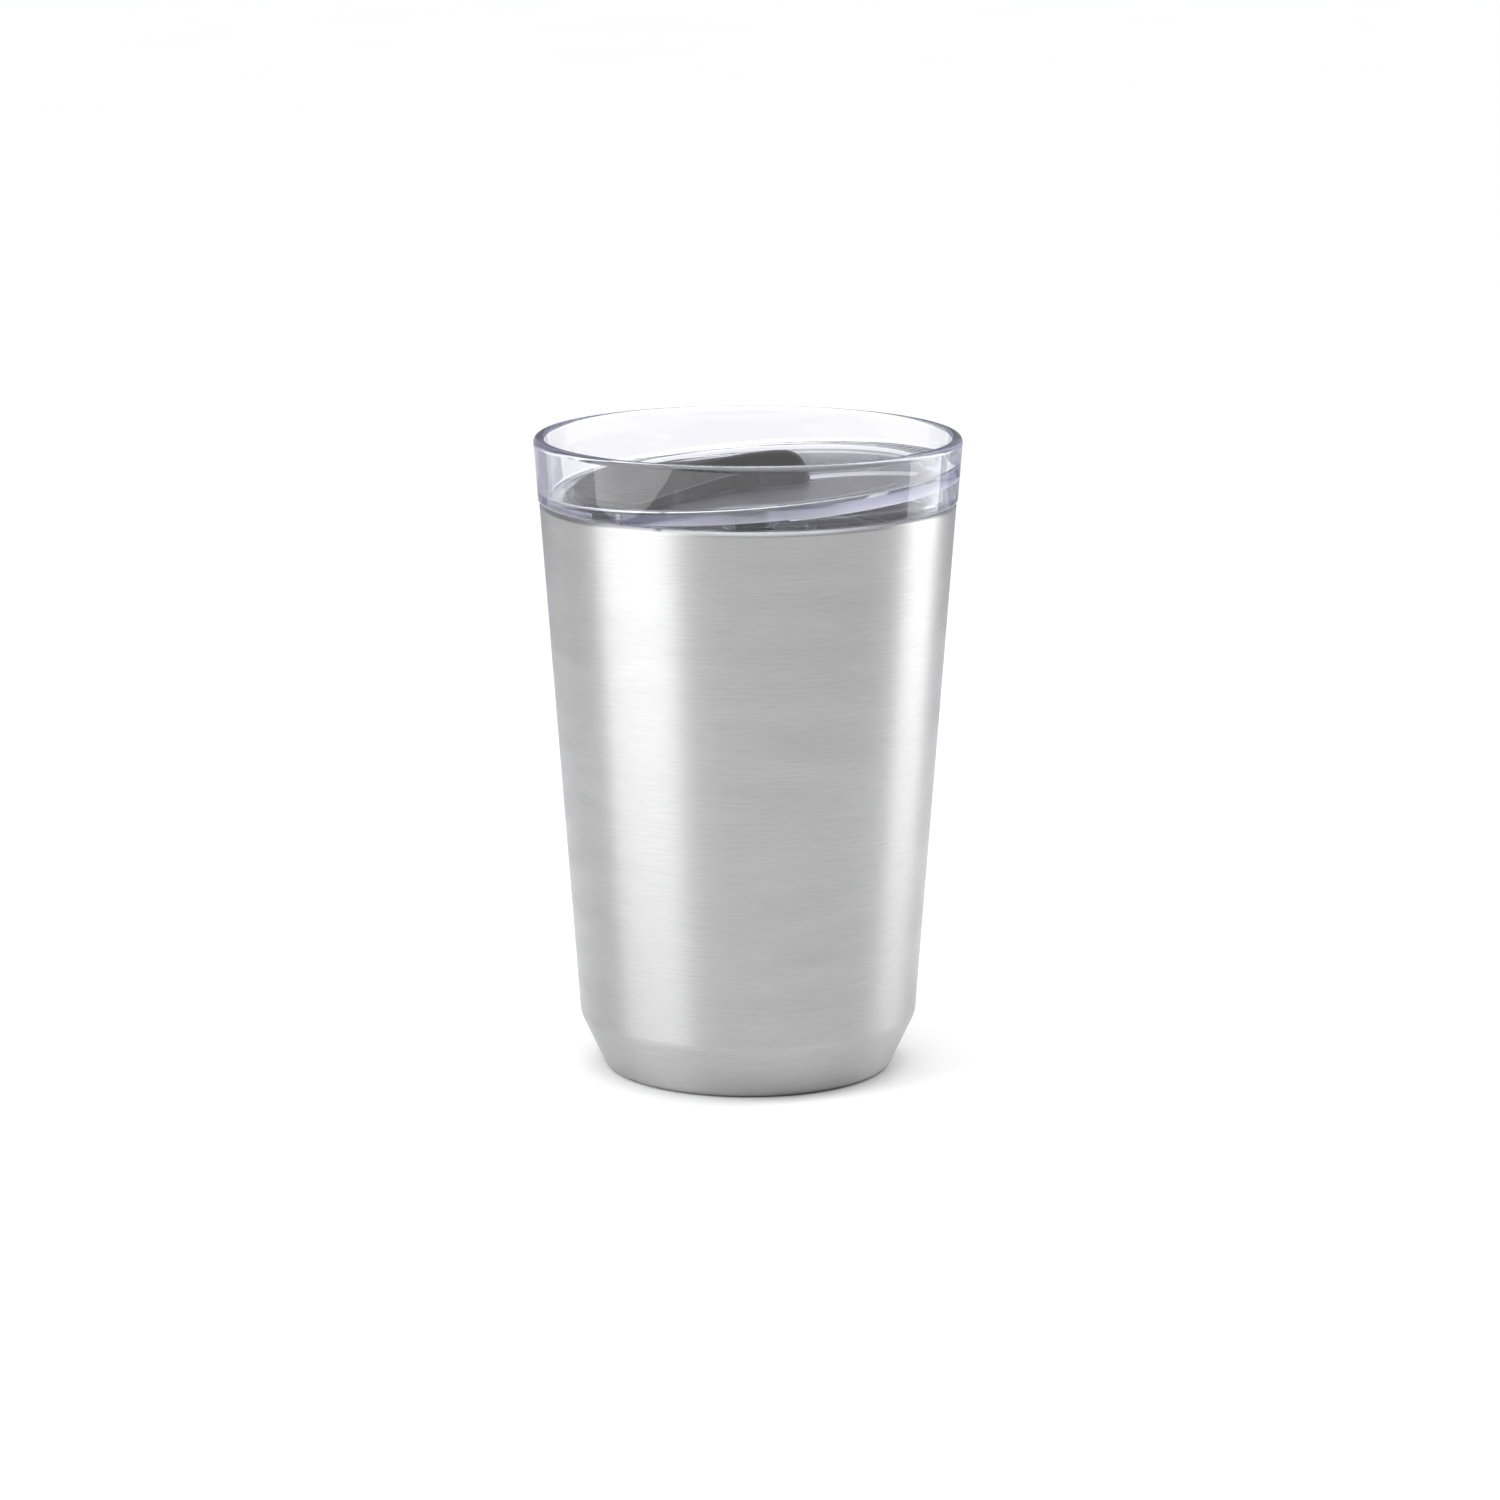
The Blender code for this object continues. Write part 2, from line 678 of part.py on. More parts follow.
def plug_section(along):
    """The plug cut across at one distance from its stem: (across, height) points, over the top."""
    low = plate_low()
    width = plug_half_width(along)
    plate = low + PLATE_THICKNESS
    fall = tail_fall(along, HUMP_PEAK_AT)
    shoulder_start = SHOULDER_INSET - recess_radius()
    hump_start = HUMP_INSET - recess_radius()
    shoulder = plate + SHOULDER_HEIGHT * eased(along, shoulder_start, HUMP_PEAK_AT)
    ridge = plate + HUMP_HEIGHT * eased(along, hump_start, HUMP_PEAK_AT)
    shoulder = low + (shoulder - low) * fall
    ridge = low + (ridge - low) * fall
    edge = min(EDGE_ROUND, width / 3, (shoulder - low) / 3)
    half = [(width, low), (width, shoulder - edge), (width - edge, shoulder)]
    for share in (0.66, 0.33):
        rise = math.cos(share * math.pi / 2)
        half.append(((width - edge) * share, shoulder + (ridge - shoulder) * rise))
    return half + [(0.0, ridge)] + [(-x, z) for x, z in reversed(half)]


def plug_stations():
    """Distances from the stem at which the plug is cut across, from its round end to its tail."""
    radius = recess_radius() - PLATE_EDGE_GAP
    first = math.radians(6)
    sweep = ROUND_END_HALF_ANGLE - first
    round_end = [-radius * math.cos(first + sweep * i / PLUG_STEPS) for i in range(PLUG_STEPS)]
    corner = -radius * math.cos(ROUND_END_HALF_ANGLE)
    taper = [corner + (WAIST_AT - corner) * i / PLUG_STEPS for i in range(PLUG_STEPS)]
    grip = [WAIST_AT + (TAIL_AT - WAIST_AT) * i / 4 for i in range(4)]
    tail = [TAIL_AT + (TAIL_END - TAIL_AT) * math.sin(i / 6 * math.pi / 2) for i in range(6)]
    return round_end + taper + grip + tail


def plug_body(grey):
    """The plate and its hump, as a skin over the sections."""
    mesh = bmesh.new()
    rings = []
    for along in plug_stations():
        rings.append([mesh.verts.new((along * MM, x * MM, z * MM)) for x, z in plug_section(along)])
    for near, far in zip(rings, rings[1:]):
        for k in range(len(near)):
            following = (k + 1) % len(near)
            mesh.faces.new((near[k], near[following], far[following], far[k]))
    mesh.faces.new(rings[0])
    mesh.faces.new(rings[-1])
    return finished("plug", mesh, grey)


def plug(grey):
    """The humped plate and its stem, moulded as one."""
    low = plate_low()
    body = on_floor(plug_body(grey))

    boss_foot = -FLOOR_THICKNESS - BOSS_DEPTH
    groove = boss_foot + 2.0
    tip = boss_foot - GAP - RETAINER_HEIGHT - 0.8
    stem = [
        (0.0, tip),
        (STEM_NECK_RADIUS, tip),
        (STEM_NECK_RADIUS, boss_foot - GAP),
        (STEM_RADIUS, boss_foot - GAP),
        (STEM_RADIUS, groove - RING_SECTION - 0.2),
        (STEM_RADIUS - 2 * RING_SECTION, groove - RING_SECTION - 0.2),
        (STEM_RADIUS - 2 * RING_SECTION, groove + RING_SECTION + 0.2),
        (STEM_RADIUS, groove + RING_SECTION + 0.2),
        (STEM_RADIUS, low + PLATE_THICKNESS / 2),
        (0.0, low + PLATE_THICKNESS / 2),
    ]
    combine(body, on_floor(turned("stem", stem, None, SMALL_STEPS)), "UNION")

    pocket = slab("seal_pocket", port_outline(SEAL_MARGIN + GAP), low - 1.0, low + SEAL_THICKNESS)
    combine(body, on_floor(pocket), "DIFFERENCE")
    return body


def port_seal(silicone):
    """The soft pad in the plate's underside that covers the port."""
    top = plate_low() + SEAL_THICKNESS - GAP
    pad = slab("port_seal", port_outline(SEAL_MARGIN), plate_low() - GAP / 3, top, silicone)
    return on_floor(pad)


def stem_ring(silicone):
    """The O-ring in the stem's groove."""
    middle = -FLOOR_THICKNESS - BOSS_DEPTH + 2.0
    radius = STEM_HOLE_RADIUS - 0.1 - RING_SECTION
    section = arc((radius, middle), RING_SECTION, 0.0, 2 * math.pi, 10)[:-1]
    return on_floor(turned("stem_o_ring", section, silicone, SMALL_STEPS))


def plug_retainer(grey):
    """The collar snapped on the stem's neck below the boss, which keeps the plug in the lid."""
    top = -FLOOR_THICKNESS - BOSS_DEPTH - GAP
    low = top - RETAINER_HEIGHT
    hole = STEM_NECK_RADIUS + 0.1
    outer = hole + RETAINER_WALL
    outline = [
        (hole, low),
        (outer - 0.7, low),
        (outer, low + 0.9),
        (outer, top - 0.1),
        (hole, top - 0.1),
    ]
    return on_floor(turned("plug_retainer", outline, grey, SMALL_STEPS))


def build():
    for old in list(bpy.data.objects):
        bpy.data.objects.remove(old)
    brushed = steel("brushed_steel", 0.32)
    satin = steel("satin_steel", 0.4)
    clear = material("clear_copolyester", (0.94, 0.95, 1.0, 1), 0.02, transmission=1.0)
    grey = material("grey_polypropylene", (0.07, 0.07, 0.072, 1), 0.3)
    silicone = material("translucent_silicone", (0.85, 0.86, 0.86, 1), 0.45)
    copper = material("copper_foil", (0.72, 0.42, 0.3, 1), 0.25, 1.0)
    pellet = material("getter_alloy", (0.2, 0.2, 0.2, 1), 0.7, 0.6)
    glass = material("solder_glass", (0.1, 0.12, 0.12, 1), 0.15)

    outer_shell(brushed)
    inner_liner(satin)
    bottom_cap(satin)
    seal_bead(glass)
    base_cover(brushed)
    getter(pellet, satin)
    foil_shields(copper)
    lid_collar(clear)
    lid_gasket(silicone)
    plug(grey)
    port_seal(silicone)
    stem_ring(silicone)
    plug_retainer(grey)


build()
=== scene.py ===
"""Insulated tumbler with a clear screw lid: its looks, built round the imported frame.

The visible pieces are turned, lofted and cut again here, finer than the frame's solids and to the same
sizes, and each stands for its CAD node. The pieces sealed between the walls stay as they are and only get
their materials. Lengths are in millimetres and are scaled to metres by MM. +Z is up, and the origin is the
centre of the foot ring. A profile is a list of (radius, height) points.
"""

import math

import bmesh
import bpy
from mathutils import Matrix, Vector


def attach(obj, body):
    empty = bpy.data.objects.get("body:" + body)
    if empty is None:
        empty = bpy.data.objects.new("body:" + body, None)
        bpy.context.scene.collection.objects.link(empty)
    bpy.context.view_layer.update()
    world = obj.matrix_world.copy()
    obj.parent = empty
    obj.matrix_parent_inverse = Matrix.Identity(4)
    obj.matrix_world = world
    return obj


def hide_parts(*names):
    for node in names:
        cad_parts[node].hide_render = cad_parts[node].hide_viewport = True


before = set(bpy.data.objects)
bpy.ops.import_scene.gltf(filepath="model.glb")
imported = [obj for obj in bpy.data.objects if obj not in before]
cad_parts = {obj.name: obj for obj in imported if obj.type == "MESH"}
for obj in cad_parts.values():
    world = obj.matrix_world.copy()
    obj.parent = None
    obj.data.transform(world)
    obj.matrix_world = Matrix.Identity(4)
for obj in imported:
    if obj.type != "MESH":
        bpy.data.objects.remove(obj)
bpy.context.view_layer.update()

MM = 0.001
TURN_STEPS = 192  # sides round each large turned piece
SMALL_STEPS = 96
GAP = 0.3

# Steel body
RIM_RADIUS = 45.0
OVERALL_HEIGHT = 135.0
MOUTH_HEIGHT = 121.3
MOUTH_RADIUS = 43.7
WALL_FOOT_HEIGHT = 11.6
WALL_FOOT_RADIUS = 35.7
CHAMFER_ANGLE = math.radians(25)
FOOT_CORNER = 2.3
MOUTH_CORNER = 0.9
BREAK_CORNER = 5.0
STEEL = 0.5
FOOT_RING_WIDTH = 1.8
NECK_RADIUS = MOUTH_RADIUS - 3.3
SHOULDER_TOP = MOUTH_HEIGHT - 11.6
SHOULDER_BOTTOM = SHOULDER_TOP - 4.5
VACUUM_GAP = 3.1
LINER_FLOOR_HEIGHT = 7.0
LINER_CORNER = 7.0
BASE_PLATE_HEIGHT = 1.5
PUMP_HOLE_RADIUS = 1.1
CAP_SHELF_WIDTH = 1.5
CAP_SHOULDER_DROP = 0.2
CAP_SKIRT_DROP = 1.1
COVER_MARGIN = 5.73
COVER_THICKNESS = 0.4
COVER_STEP = 0.2
COVER_STEP_FROM_EDGE = (2.5, 1.5)

# Lid
FLANGE_FOOT = MOUTH_HEIGHT + GAP
LID_FOOT_RADIUS = RIM_RADIUS - 1.0
LID_WALL = 2.6
RIM_ROUND = 1.25
UNDER_LEDGE_RADIUS = LID_FOOT_RADIUS - 3.6
FLANGE = 1.9
SKIRT_RADIUS = NECK_RADIUS - 1.6
SKIRT_WALL = 1.7
SKIRT_FOOT = MOUTH_HEIGHT - 10.7
GROOVE_RADIUS = SKIRT_RADIUS - 0.8
GASKET_HEIGHT = 1.9
GASKET_RIB = 0.4
GASKET_VALLEY = 0.5
FLOOR_HEIGHT = MOUTH_HEIGHT + 5.1
FLOOR_SLOPE = math.radians(4.4)
UPHILL = math.radians(8)
FLOOR_THICKNESS = 3.1
FLOOR_FILLET = 0.7
RECESS_RADIUS = 37.0
RECESS_DEPTH = 0.9
RECESS_EDGE = 0.25
PORT_RADIUS = 27.5
PORT_WIDTH = 7.0
PORT_HALF_ANGLE = math.radians(20)
STEM_HOLE_RADIUS = 3.7
BOSS_RADIUS = 6.0
BOSS_FOOT = -FLOOR_THICKNESS - 5.5
RIB_THICKNESS = 1.3
RIB_REACH = 14.5
RIB_FOOT = -FLOOR_THICKNESS - 8.0
RIB_ANGLE = math.radians(28)
BOSS_SINK = 0.6  # how far the boss and the ribs reach into the floor that they hang from
RIB_SINK = 0.4
PAST = 2.0  # how far a cutter reaches past what it cuts
CUTTER_TOP = 3.0  # how far above the floor a cutter starts

# Screw thread, two starts
THREAD_LEAD = 7.0
THREAD_STARTS = 2
RIDGE_BASE = 1.4
RIDGE_CREST = 0.8
LID_CREST_RADIUS = NECK_RADIUS - 0.4
NECK_CREST_RADIUS = NECK_RADIUS - 0.9
THREAD_BOTTOM = MOUTH_HEIGHT - 9.3
LID_RIDGE_ARC = math.radians(257)
NECK_RIDGE_ARC = math.radians(278)
NECK_RIDGE_START = math.radians(-80)
DEGREES_PER_STEP = 4
RUN_OUT_DEGREES = 20
LEAST_CREST = 0.15

# Plug, along its length from the stem; the round end is on the negative side
PLATE_LOW = GAP - RECESS_DEPTH
PLATE_TOP = PLATE_LOW + 1.5
PLUG_RADIUS = RECESS_RADIUS - 0.4
ROUND_END_HALF_ANGLE = math.radians(45)
WAIST_AT = -3.0
WAIST_HALF_WIDTH = 10.5
TAPER_EASE = 1.2
CORNER_CRISPNESS = 30.0
TAIL_AT = 7.0
TAIL_HALF_WIDTH = 13.5
TAIL_END = 12.0
HUMP_START = -31.0
HUMP_PEAK_AT = 3.0
HUMP_HEIGHT = 3.45
SHOULDER_START = -27.0
SHOULDER_HEIGHT = 1.7
TOP_EDGE = 0.4
LOW_EDGE = 0.15
STEM_RADIUS = 3.4
STEM_NECK_RADIUS = 2.2
STEM_TIP = 0.8
STEM_TIP_CHAMFER = 0.5
RING_SECTION = 0.55
RING_GROOVE = BOSS_FOOT + 2.0
RETAINER_RADIUS = 4.6
RETAINER_HEIGHT = 3.2
RETAINER_CHAMFER = (0.7, 0.9)
FIT = 0.1  # what is left between a ring and the stem or hole that it sits against
SEAL_MARGIN = 2.6
SEAL_THICKNESS = 0.8

# Light, in W/m2 per steradian for the softboxes and the surroundings
SURROUNDINGS_LIGHT = 0.16
OVERHEAD_LIGHT = 3.3
OVERHEAD_ANGLE = math.radians(80)
LEFT_LIGHT = 2.7
RIGHT_LIGHT = 2.7
LIGHT_BOUNCES = 32  # enough for the reflections inside the clear collar

# Camera: metres, radians, and a lens in millimetres
CAMERA_BACK = 1.06696
CAMERA_HEIGHT = 0.29151
CAMERA_DIP = 0.206734
CAMERA_LENS = 123.72
CAMERA_SHIFT = 0.00133


# Mesh helpers


def axes_to_floor():
    """From the slanted floor's own frame to the tumbler's: x runs uphill, z is the floor's normal."""
    turn = Matrix.Rotation(UPHILL, 4, "Z") @ Matrix.Rotation(-FLOOR_SLOPE, 4, "Y")
    return Matrix.Translation((0, 0, FLOOR_HEIGHT * MM)) @ turn


def arc(centre, radius, start, end, steps):
    """Points on a circle from one angle to another, both included."""
    return [
        (
            centre[0] + radius * math.cos(start + (end - start) * i / steps),
            centre[1] + radius * math.sin(start + (end - start) * i / steps),
        )
        for i in range(steps + 1)
    ]


def rounded(before, corner, after, radius, steps=8):
    """The corner of a profile, replaced by an arc that is tangent to both of its sides."""
    here = Vector(corner)
    back = (Vector(before) - here).normalized()
    ahead = (Vector(after) - here).normalized()
    half = back.angle(ahead) / 2
    centre = here + (back + ahead).normalized() * radius / math.sin(half)
    first = here + back * radius / math.tan(half) - centre
    last = here + ahead * radius / math.tan(half) - centre
    sweep = first.angle_signed(last)
    return [tuple(centre + Matrix.Rotation(-sweep * i / steps, 2) @ first) for i in range(steps + 1)]


def thickened(skin, wall):
    """A closed outline from an open skin: the skin, and the same line a wall's thickness to its right."""
    points = [Vector(point) for point in skin]
    inner = []
    for i, point in enumerate(points):
        before = (point - points[i - 1]).normalized() if i else None
        after = (points[i + 1] - point).normalized() if i + 1 < len(points) else None
        before, after = before or after, after or before
        side = Vector((before.y, -before.x)) + Vector((after.y, -after.x))
        reach = wall / side.normalized().dot(Vector((before.y, -before.x)))
        inner.append(tuple(point + side.normalized() * reach))
    return list(skin) + inner[::-1]


def object_from(name, mesh):
    """Fills a bmesh into a new object."""
    bmesh.ops.recalc_face_normals(mesh, faces=mesh.faces)
    data = bpy.data.meshes.new(name)
    mesh.to_mesh(data)
    mesh.free()
    made = bpy.data.objects.new(name, data)
    bpy.context.scene.collection.objects.link(made)
    return made


def turned_mesh(outline, steps):
    """A closed outline turned round the Z axis."""
    mesh = bmesh.new()
    corners = [mesh.verts.new((r * MM, 0, z * MM)) for r, z in outline]
    edges = []
    for i, corner in enumerate(corners):
        following = (i + 1) % len(corners)
        if outline[i][0] > 1e-6 or outline[following][0] > 1e-6:
            edges.append(mesh.edges.new((corner, corners[following])))
    bmesh.ops.spin(
        mesh, geom=corners + edges, axis=(0, 0, 1), angle=2 * math.pi, steps=steps, use_merge=True
    )
    bmesh.ops.remove_doubles(mesh, verts=mesh.verts, dist=1e-7)
    return mesh


def turned(name, outline, steps=TURN_STEPS):
    return object_from(name, turned_mesh(outline, steps))


def slab(name, outline, low, high):
    """A flat outline of (x, y) points, raised from one height to another."""
    mesh = bmesh.new()
    face = mesh.faces.new([mesh.verts.new((x * MM, y * MM, low * MM)) for x, y in outline])
    raised = bmesh.ops.extrude_face_region(mesh, geom=[face])["geom"]
    tops = [part for part in raised if isinstance(part, bmesh.types.BMVert)]
    bmesh.ops.translate(mesh, verts=tops, vec=(0, 0, (high - low) * MM))
    return object_from(name, mesh)


def lofted(name, rings):
    """A closed skin over a row of rings of (x, y, z) points in metres, with both ends filled."""
    mesh = bmesh.new()
    rows = [[mesh.verts.new(point) for point in ring] for ring in rings]
    for near, far in zip(rows, rows[1:]):
        for k in range(len(near)):
            following = (k + 1) % len(near)
            mesh.faces.new((near[k], near[following], far[following], far[k]))
    mesh.faces.new(rows[0])
    mesh.faces.new(rows[-1])
    return object_from(name, mesh)


def on_floor(made):
    """Places a shape that was made in the slanted floor's own frame."""
    made.matrix_world = axes_to_floor()
    return made


def combined(target, changes):
    """Applies ("UNION" or "DIFFERENCE", object) changes to a shape and removes their objects.

    The cuts leave pairs of corners that lie on each other, and these are merged.
    """
    for operation, other in changes:
        modifier = target.modifiers.new(other.name, "BOOLEAN")
        modifier.operation = operation
        modifier.object = other
    bpy.context.view_layer.update()
    depsgraph = bpy.context.evaluated_depsgraph_get()
    data = bpy.data.meshes.new_from_object(target.evaluated_get(depsgraph))
    target.modifiers.clear()
    mesh = bmesh.new()
    mesh.from_mesh(data)
    bmesh.ops.remove_doubles(mesh, verts=mesh.verts, dist=0.002 * MM)
    mesh.to_mesh(data)
    mesh.free()
    target.data = data
    for _, other in changes:
        bpy.data.objects.remove(other)
    return target


def shown(made, body, node, slot, *materials, sharp=32):
    """Gives a piece smooth round faces, crisp edges and its materials, hangs it under its body and hides
    its CAD node.
    """
    made.data.transform(made.matrix_world)
    made.matrix_world = Matrix.Identity(4)
    made.data.shade_smooth()
    made.data.set_sharp_from_angle(angle=math.radians(sharp))
    made.data.materials.clear()
    for material in materials:
        made.data.materials.append(material)
    weighted = made.modifiers.new("weighted_normals", "WEIGHTED_NORMAL")
    weighted.keep_sharp = True
    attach(made, body)
    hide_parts(node)
    return made


# Materials


def new_material(name):
    """A new material, its node tree and its Principled shader."""
    made = bpy.data.materials.new(name)
    made.use_nodes = True
    tree = made.node_tree
    return made, tree, tree.nodes["Principled BSDF"]


def set_inputs(node, **values):
    """Sets a node's sockets by name. An underscore in a name stands for a space."""
    for name, value in values.items():
        node.inputs[name.replace("_", " ")].default_value = value


def stretched_noise(tree, scale, stretch, detail=2.0, rough=0.6):
    """Noise in the object's own space, stretched by a factor for each axis."""
    place = tree.nodes.new("ShaderNodeTexCoord")
    mapping = tree.nodes.new("ShaderNodeMapping")
    mapping.inputs["Scale"].default_value = stretch
    noise = tree.nodes.new("ShaderNodeTexNoise")
    set_inputs(noise, Scale=scale, Detail=detail, Roughness=rough)
    tree.links.new(place.outputs["Object"], mapping.inputs["Vector"])
    tree.links.new(mapping.outputs["Vector"], noise.inputs["Vector"])
    return noise.outputs["Fac"]


def ranged(tree, source, low, high, start=0.3, end=0.7):
    """A value that runs from low to high as the source runs from start to end."""
    node = tree.nodes.new("ShaderNodeMapRange")
    set_inputs(node, **{"From Min": start, "From Max": end, "To Min": low, "To Max": high})
    tree.links.new(source, node.inputs["Value"])
    return node.outputs["Result"]


def tones(tree, source, dark, light, start=0.3, end=0.7):
    """A colour that runs from dark to light as the source runs from start to end."""
    ramp = tree.nodes.new("ShaderNodeValToRGB")
    ramp.color_ramp.elements[0].position = start
    ramp.color_ramp.elements[0].color = (*dark, 1)
    ramp.color_ramp.elements[1].position = end
    ramp.color_ramp.elements[1].color = (*light, 1)
    tree.links.new(source, ramp.inputs["Fac"])
    return ramp.outputs["Color"]


def bumped(tree, shader, source, strength, distance):
    """Raises fine relief on a surface, distance metres high where the source is 1."""
    bump = tree.nodes.new("ShaderNodeBump")
    set_inputs(bump, Strength=strength, Distance=distance)
    tree.links.new(source, bump.inputs["Height"])
    tree.links.new(bump.outputs["Normal"], shader.inputs["Normal"])


def steel(name, dark, light, rough_low, rough_high, brushing, anisotropy=0.85, metallic=1.0):
    """Steel with fine lines brushed round the Z axis, so that highlights run up and down it."""
    made, tree, shader = new_material(name)
    set_inputs(shader, Metallic=metallic, Anisotropic=anisotropy, **{"Anisotropic Rotation": 0.25})
    tangent = tree.nodes.new("ShaderNodeTangent")
    tangent.direction_type = "RADIAL"
    tangent.axis = "Z"
    tree.links.new(tangent.outputs["Tangent"], shader.inputs["Tangent"])
    lines = stretched_noise(tree, 1.0, (160, 160, 6500), detail=4.0, rough=0.7)
    patches = stretched_noise(tree, 1.0, (25, 25, 160), detail=2.0)
    tree.links.new(tones(tree, lines, dark, light), shader.inputs["Base Color"])
    tree.links.new(ranged(tree, patches, rough_low, rough_high), shader.inputs["Roughness"])
    bumped(tree, shader, lines, brushing, 0.00004)
    return made


def clear_plastic(name, tint, roughness, waviness, depth_tint=(0.8, 0.8, 0.87)):
    """Clear copolyester. Light from the lamps passes through it, as it does through a thin clear wall."""
    made, tree, shader = new_material(name)
    set_inputs(shader, IOR=1.5, **{"Base Color": (*tint, 1), "Transmission Weight": 1.0})
    handling = stretched_noise(tree, 90.0, (1, 1, 1.5), detail=3.0)
    varied = ranged(tree, handling, roughness * 0.7, roughness * 1.3, 0.1, 0.9)
    tree.links.new(varied, shader.inputs["Roughness"])
    flow = stretched_noise(tree, 60.0, (1, 1, 2), detail=1.0)
    bumped(tree, shader, flow, waviness, 0.0002)

    path = tree.nodes.new("ShaderNodeLightPath")
    passing = tree.nodes.new("ShaderNodeBsdfTransparent")
    passing.inputs["Color"].default_value = (*[math.sqrt(level) for level in tint], 1)
    mixed = tree.nodes.new("ShaderNodeMixShader")
    output = tree.nodes["Material Output"]
    tree.links.new(path.outputs["Is Shadow Ray"], mixed.inputs["Fac"])
    tree.links.new(shader.outputs["BSDF"], mixed.inputs[1])
    tree.links.new(passing.outputs["BSDF"], mixed.inputs[2])
    tree.links.new(mixed.outputs["Shader"], output.inputs["Surface"])

    depth = tree.nodes.new("ShaderNodeVolumeAbsorption")
    set_inputs(depth, Color=(*depth_tint, 1), Density=65.0)
    tree.links.new(depth.outputs["Volume"], output.inputs["Volume"])
    return made


def grey_plastic():
    """Moulded polypropylene with a fine grain and slight shine marks."""
    made, tree, shader = new_material("plug_polypropylene")
    set_inputs(shader, IOR=1.5, **{"Specular IOR Level": 0.3})
    grain = stretched_noise(tree, 2600.0, (1, 1, 1), detail=3.0)
    marks = stretched_noise(tree, 55.0, (1, 2.5, 1), detail=4.0)
    colour = tones(tree, marks, (0.032, 0.032, 0.034), (0.044, 0.043, 0.044), 0.1, 0.9)
    tree.links.new(colour, shader.inputs["Base Color"])
    tree.links.new(ranged(tree, marks, 0.2, 0.32, 0.1, 0.9), shader.inputs["Roughness"])
    bumped(tree, shader, grain, 0.12, 0.00003)
    return made


def silicone():
    made, tree, shader = new_material("seal_silicone")
    set_inputs(shader, IOR=1.41, **{"Subsurface Weight": 0.4, "Subsurface Scale": 0.002})
    set_inputs(shader, **{"Subsurface Radius": (1.0, 1.0, 1.0)})
    bloom = stretched_noise(tree, 420.0, (1, 1, 1), detail=3.0)
    colour = tones(tree, bloom, (0.74, 0.76, 0.77), (0.84, 0.85, 0.86))
    tree.links.new(colour, shader.inputs["Base Color"])
    tree.links.new(ranged(tree, bloom, 0.38, 0.52), shader.inputs["Roughness"])
    bumped(tree, shader, bloom, 0.2, 0.00005)
    return made


def copper_foil():
    made, tree, shader = new_material("bright_copper_foil")
    set_inputs(shader, Metallic=1.0)
    creases = stretched_noise(tree, 160.0, (1, 1, 1), detail=6.0, rough=0.7)
    colour = tones(tree, creases, (0.66, 0.35, 0.24), (0.82, 0.5, 0.36))
    tree.links.new(colour, shader.inputs["Base Color"])
    tree.links.new(ranged(tree, creases, 0.18, 0.34), shader.inputs["Roughness"])
    bumped(tree, shader, creases, 0.5, 0.0002)
    return made


def getter_alloy():
    made, tree, shader = new_material("pressed_getter_powder")
    set_inputs(shader, Metallic=0.6)
    grains = stretched_noise(tree, 3200.0, (1, 1, 1), detail=4.0)
    colour = tones(tree, grains, (0.12, 0.12, 0.12), (0.28, 0.28, 0.27))
    tree.links.new(colour, shader.inputs["Base Color"])
    tree.links.new(ranged(tree, grains, 0.6, 0.85), shader.inputs["Roughness"])
    bumped(tree, shader, grains, 0.6, 0.0001)
    return made


def solder_glass():
    made, tree, shader = new_material("dark_solder_glass")
    ripples = stretched_noise(tree, 900.0, (1, 1, 1), detail=2.0)
    colour = tones(tree, ripples, (0.06, 0.08, 0.08), (0.12, 0.14, 0.14))
    tree.links.new(colour, shader.inputs["Base Color"])
    tree.links.new(ranged(tree, ripples, 0.08, 0.2), shader.inputs["Roughness"])
    bumped(tree, shader, ripples, 0.3, 0.0001)
    return made


# Steel body


def wall_radius(height):
    """Outer radius of the shell's tapered wall."""
    share = (height - WALL_FOOT_HEIGHT) / (MOUTH_HEIGHT - WALL_FOOT_HEIGHT)
    return WALL_FOOT_RADIUS + (MOUTH_RADIUS - WALL_FOOT_RADIUS) * share


def liner_radius(height):
    return wall_radius(height) - STEEL - VACUUM_GAP


def foot_corner_centre():
    """(radius, height) of the middle of the corner between chamfer and foot ring."""
    tangent_height = FOOT_CORNER * (1 - math.sin(CHAMFER_ANGLE))
    tangent_radius = WALL_FOOT_RADIUS - (WALL_FOOT_HEIGHT - tangent_height) * math.tan(CHAMFER_ANGLE)
    return tangent_radius - FOOT_CORNER * math.cos(CHAMFER_ANGLE), FOOT_CORNER


def foot_ring_inner():
    return foot_corner_centre()[0] - FOOT_RING_WIDTH


def shell():
    """The drawn outer wall: turned in at the mouth, tapered, chamfered, and rolled into the foot ring."""
    mouth = (MOUTH_RADIUS, MOUTH_HEIGHT)
    seam = (NECK_RADIUS + STEEL + GAP / 3, MOUTH_HEIGHT)
    break_point = (WALL_FOOT_RADIUS, WALL_FOOT_HEIGHT)
    foot = arc(foot_corner_centre(), FOOT_CORNER, -CHAMFER_ANGLE, -math.pi / 2, 12)
    skin = (
        [seam]
        + rounded(seam, mouth, break_point, MOUTH_CORNER, 8)
        + rounded(mouth, break_point, foot[0], BREAK_CORNER, 10)
        + foot
        + [(foot_ring_inner(), 0.0)]
    )
    return turned("shell_wall", thickened(skin, STEEL))


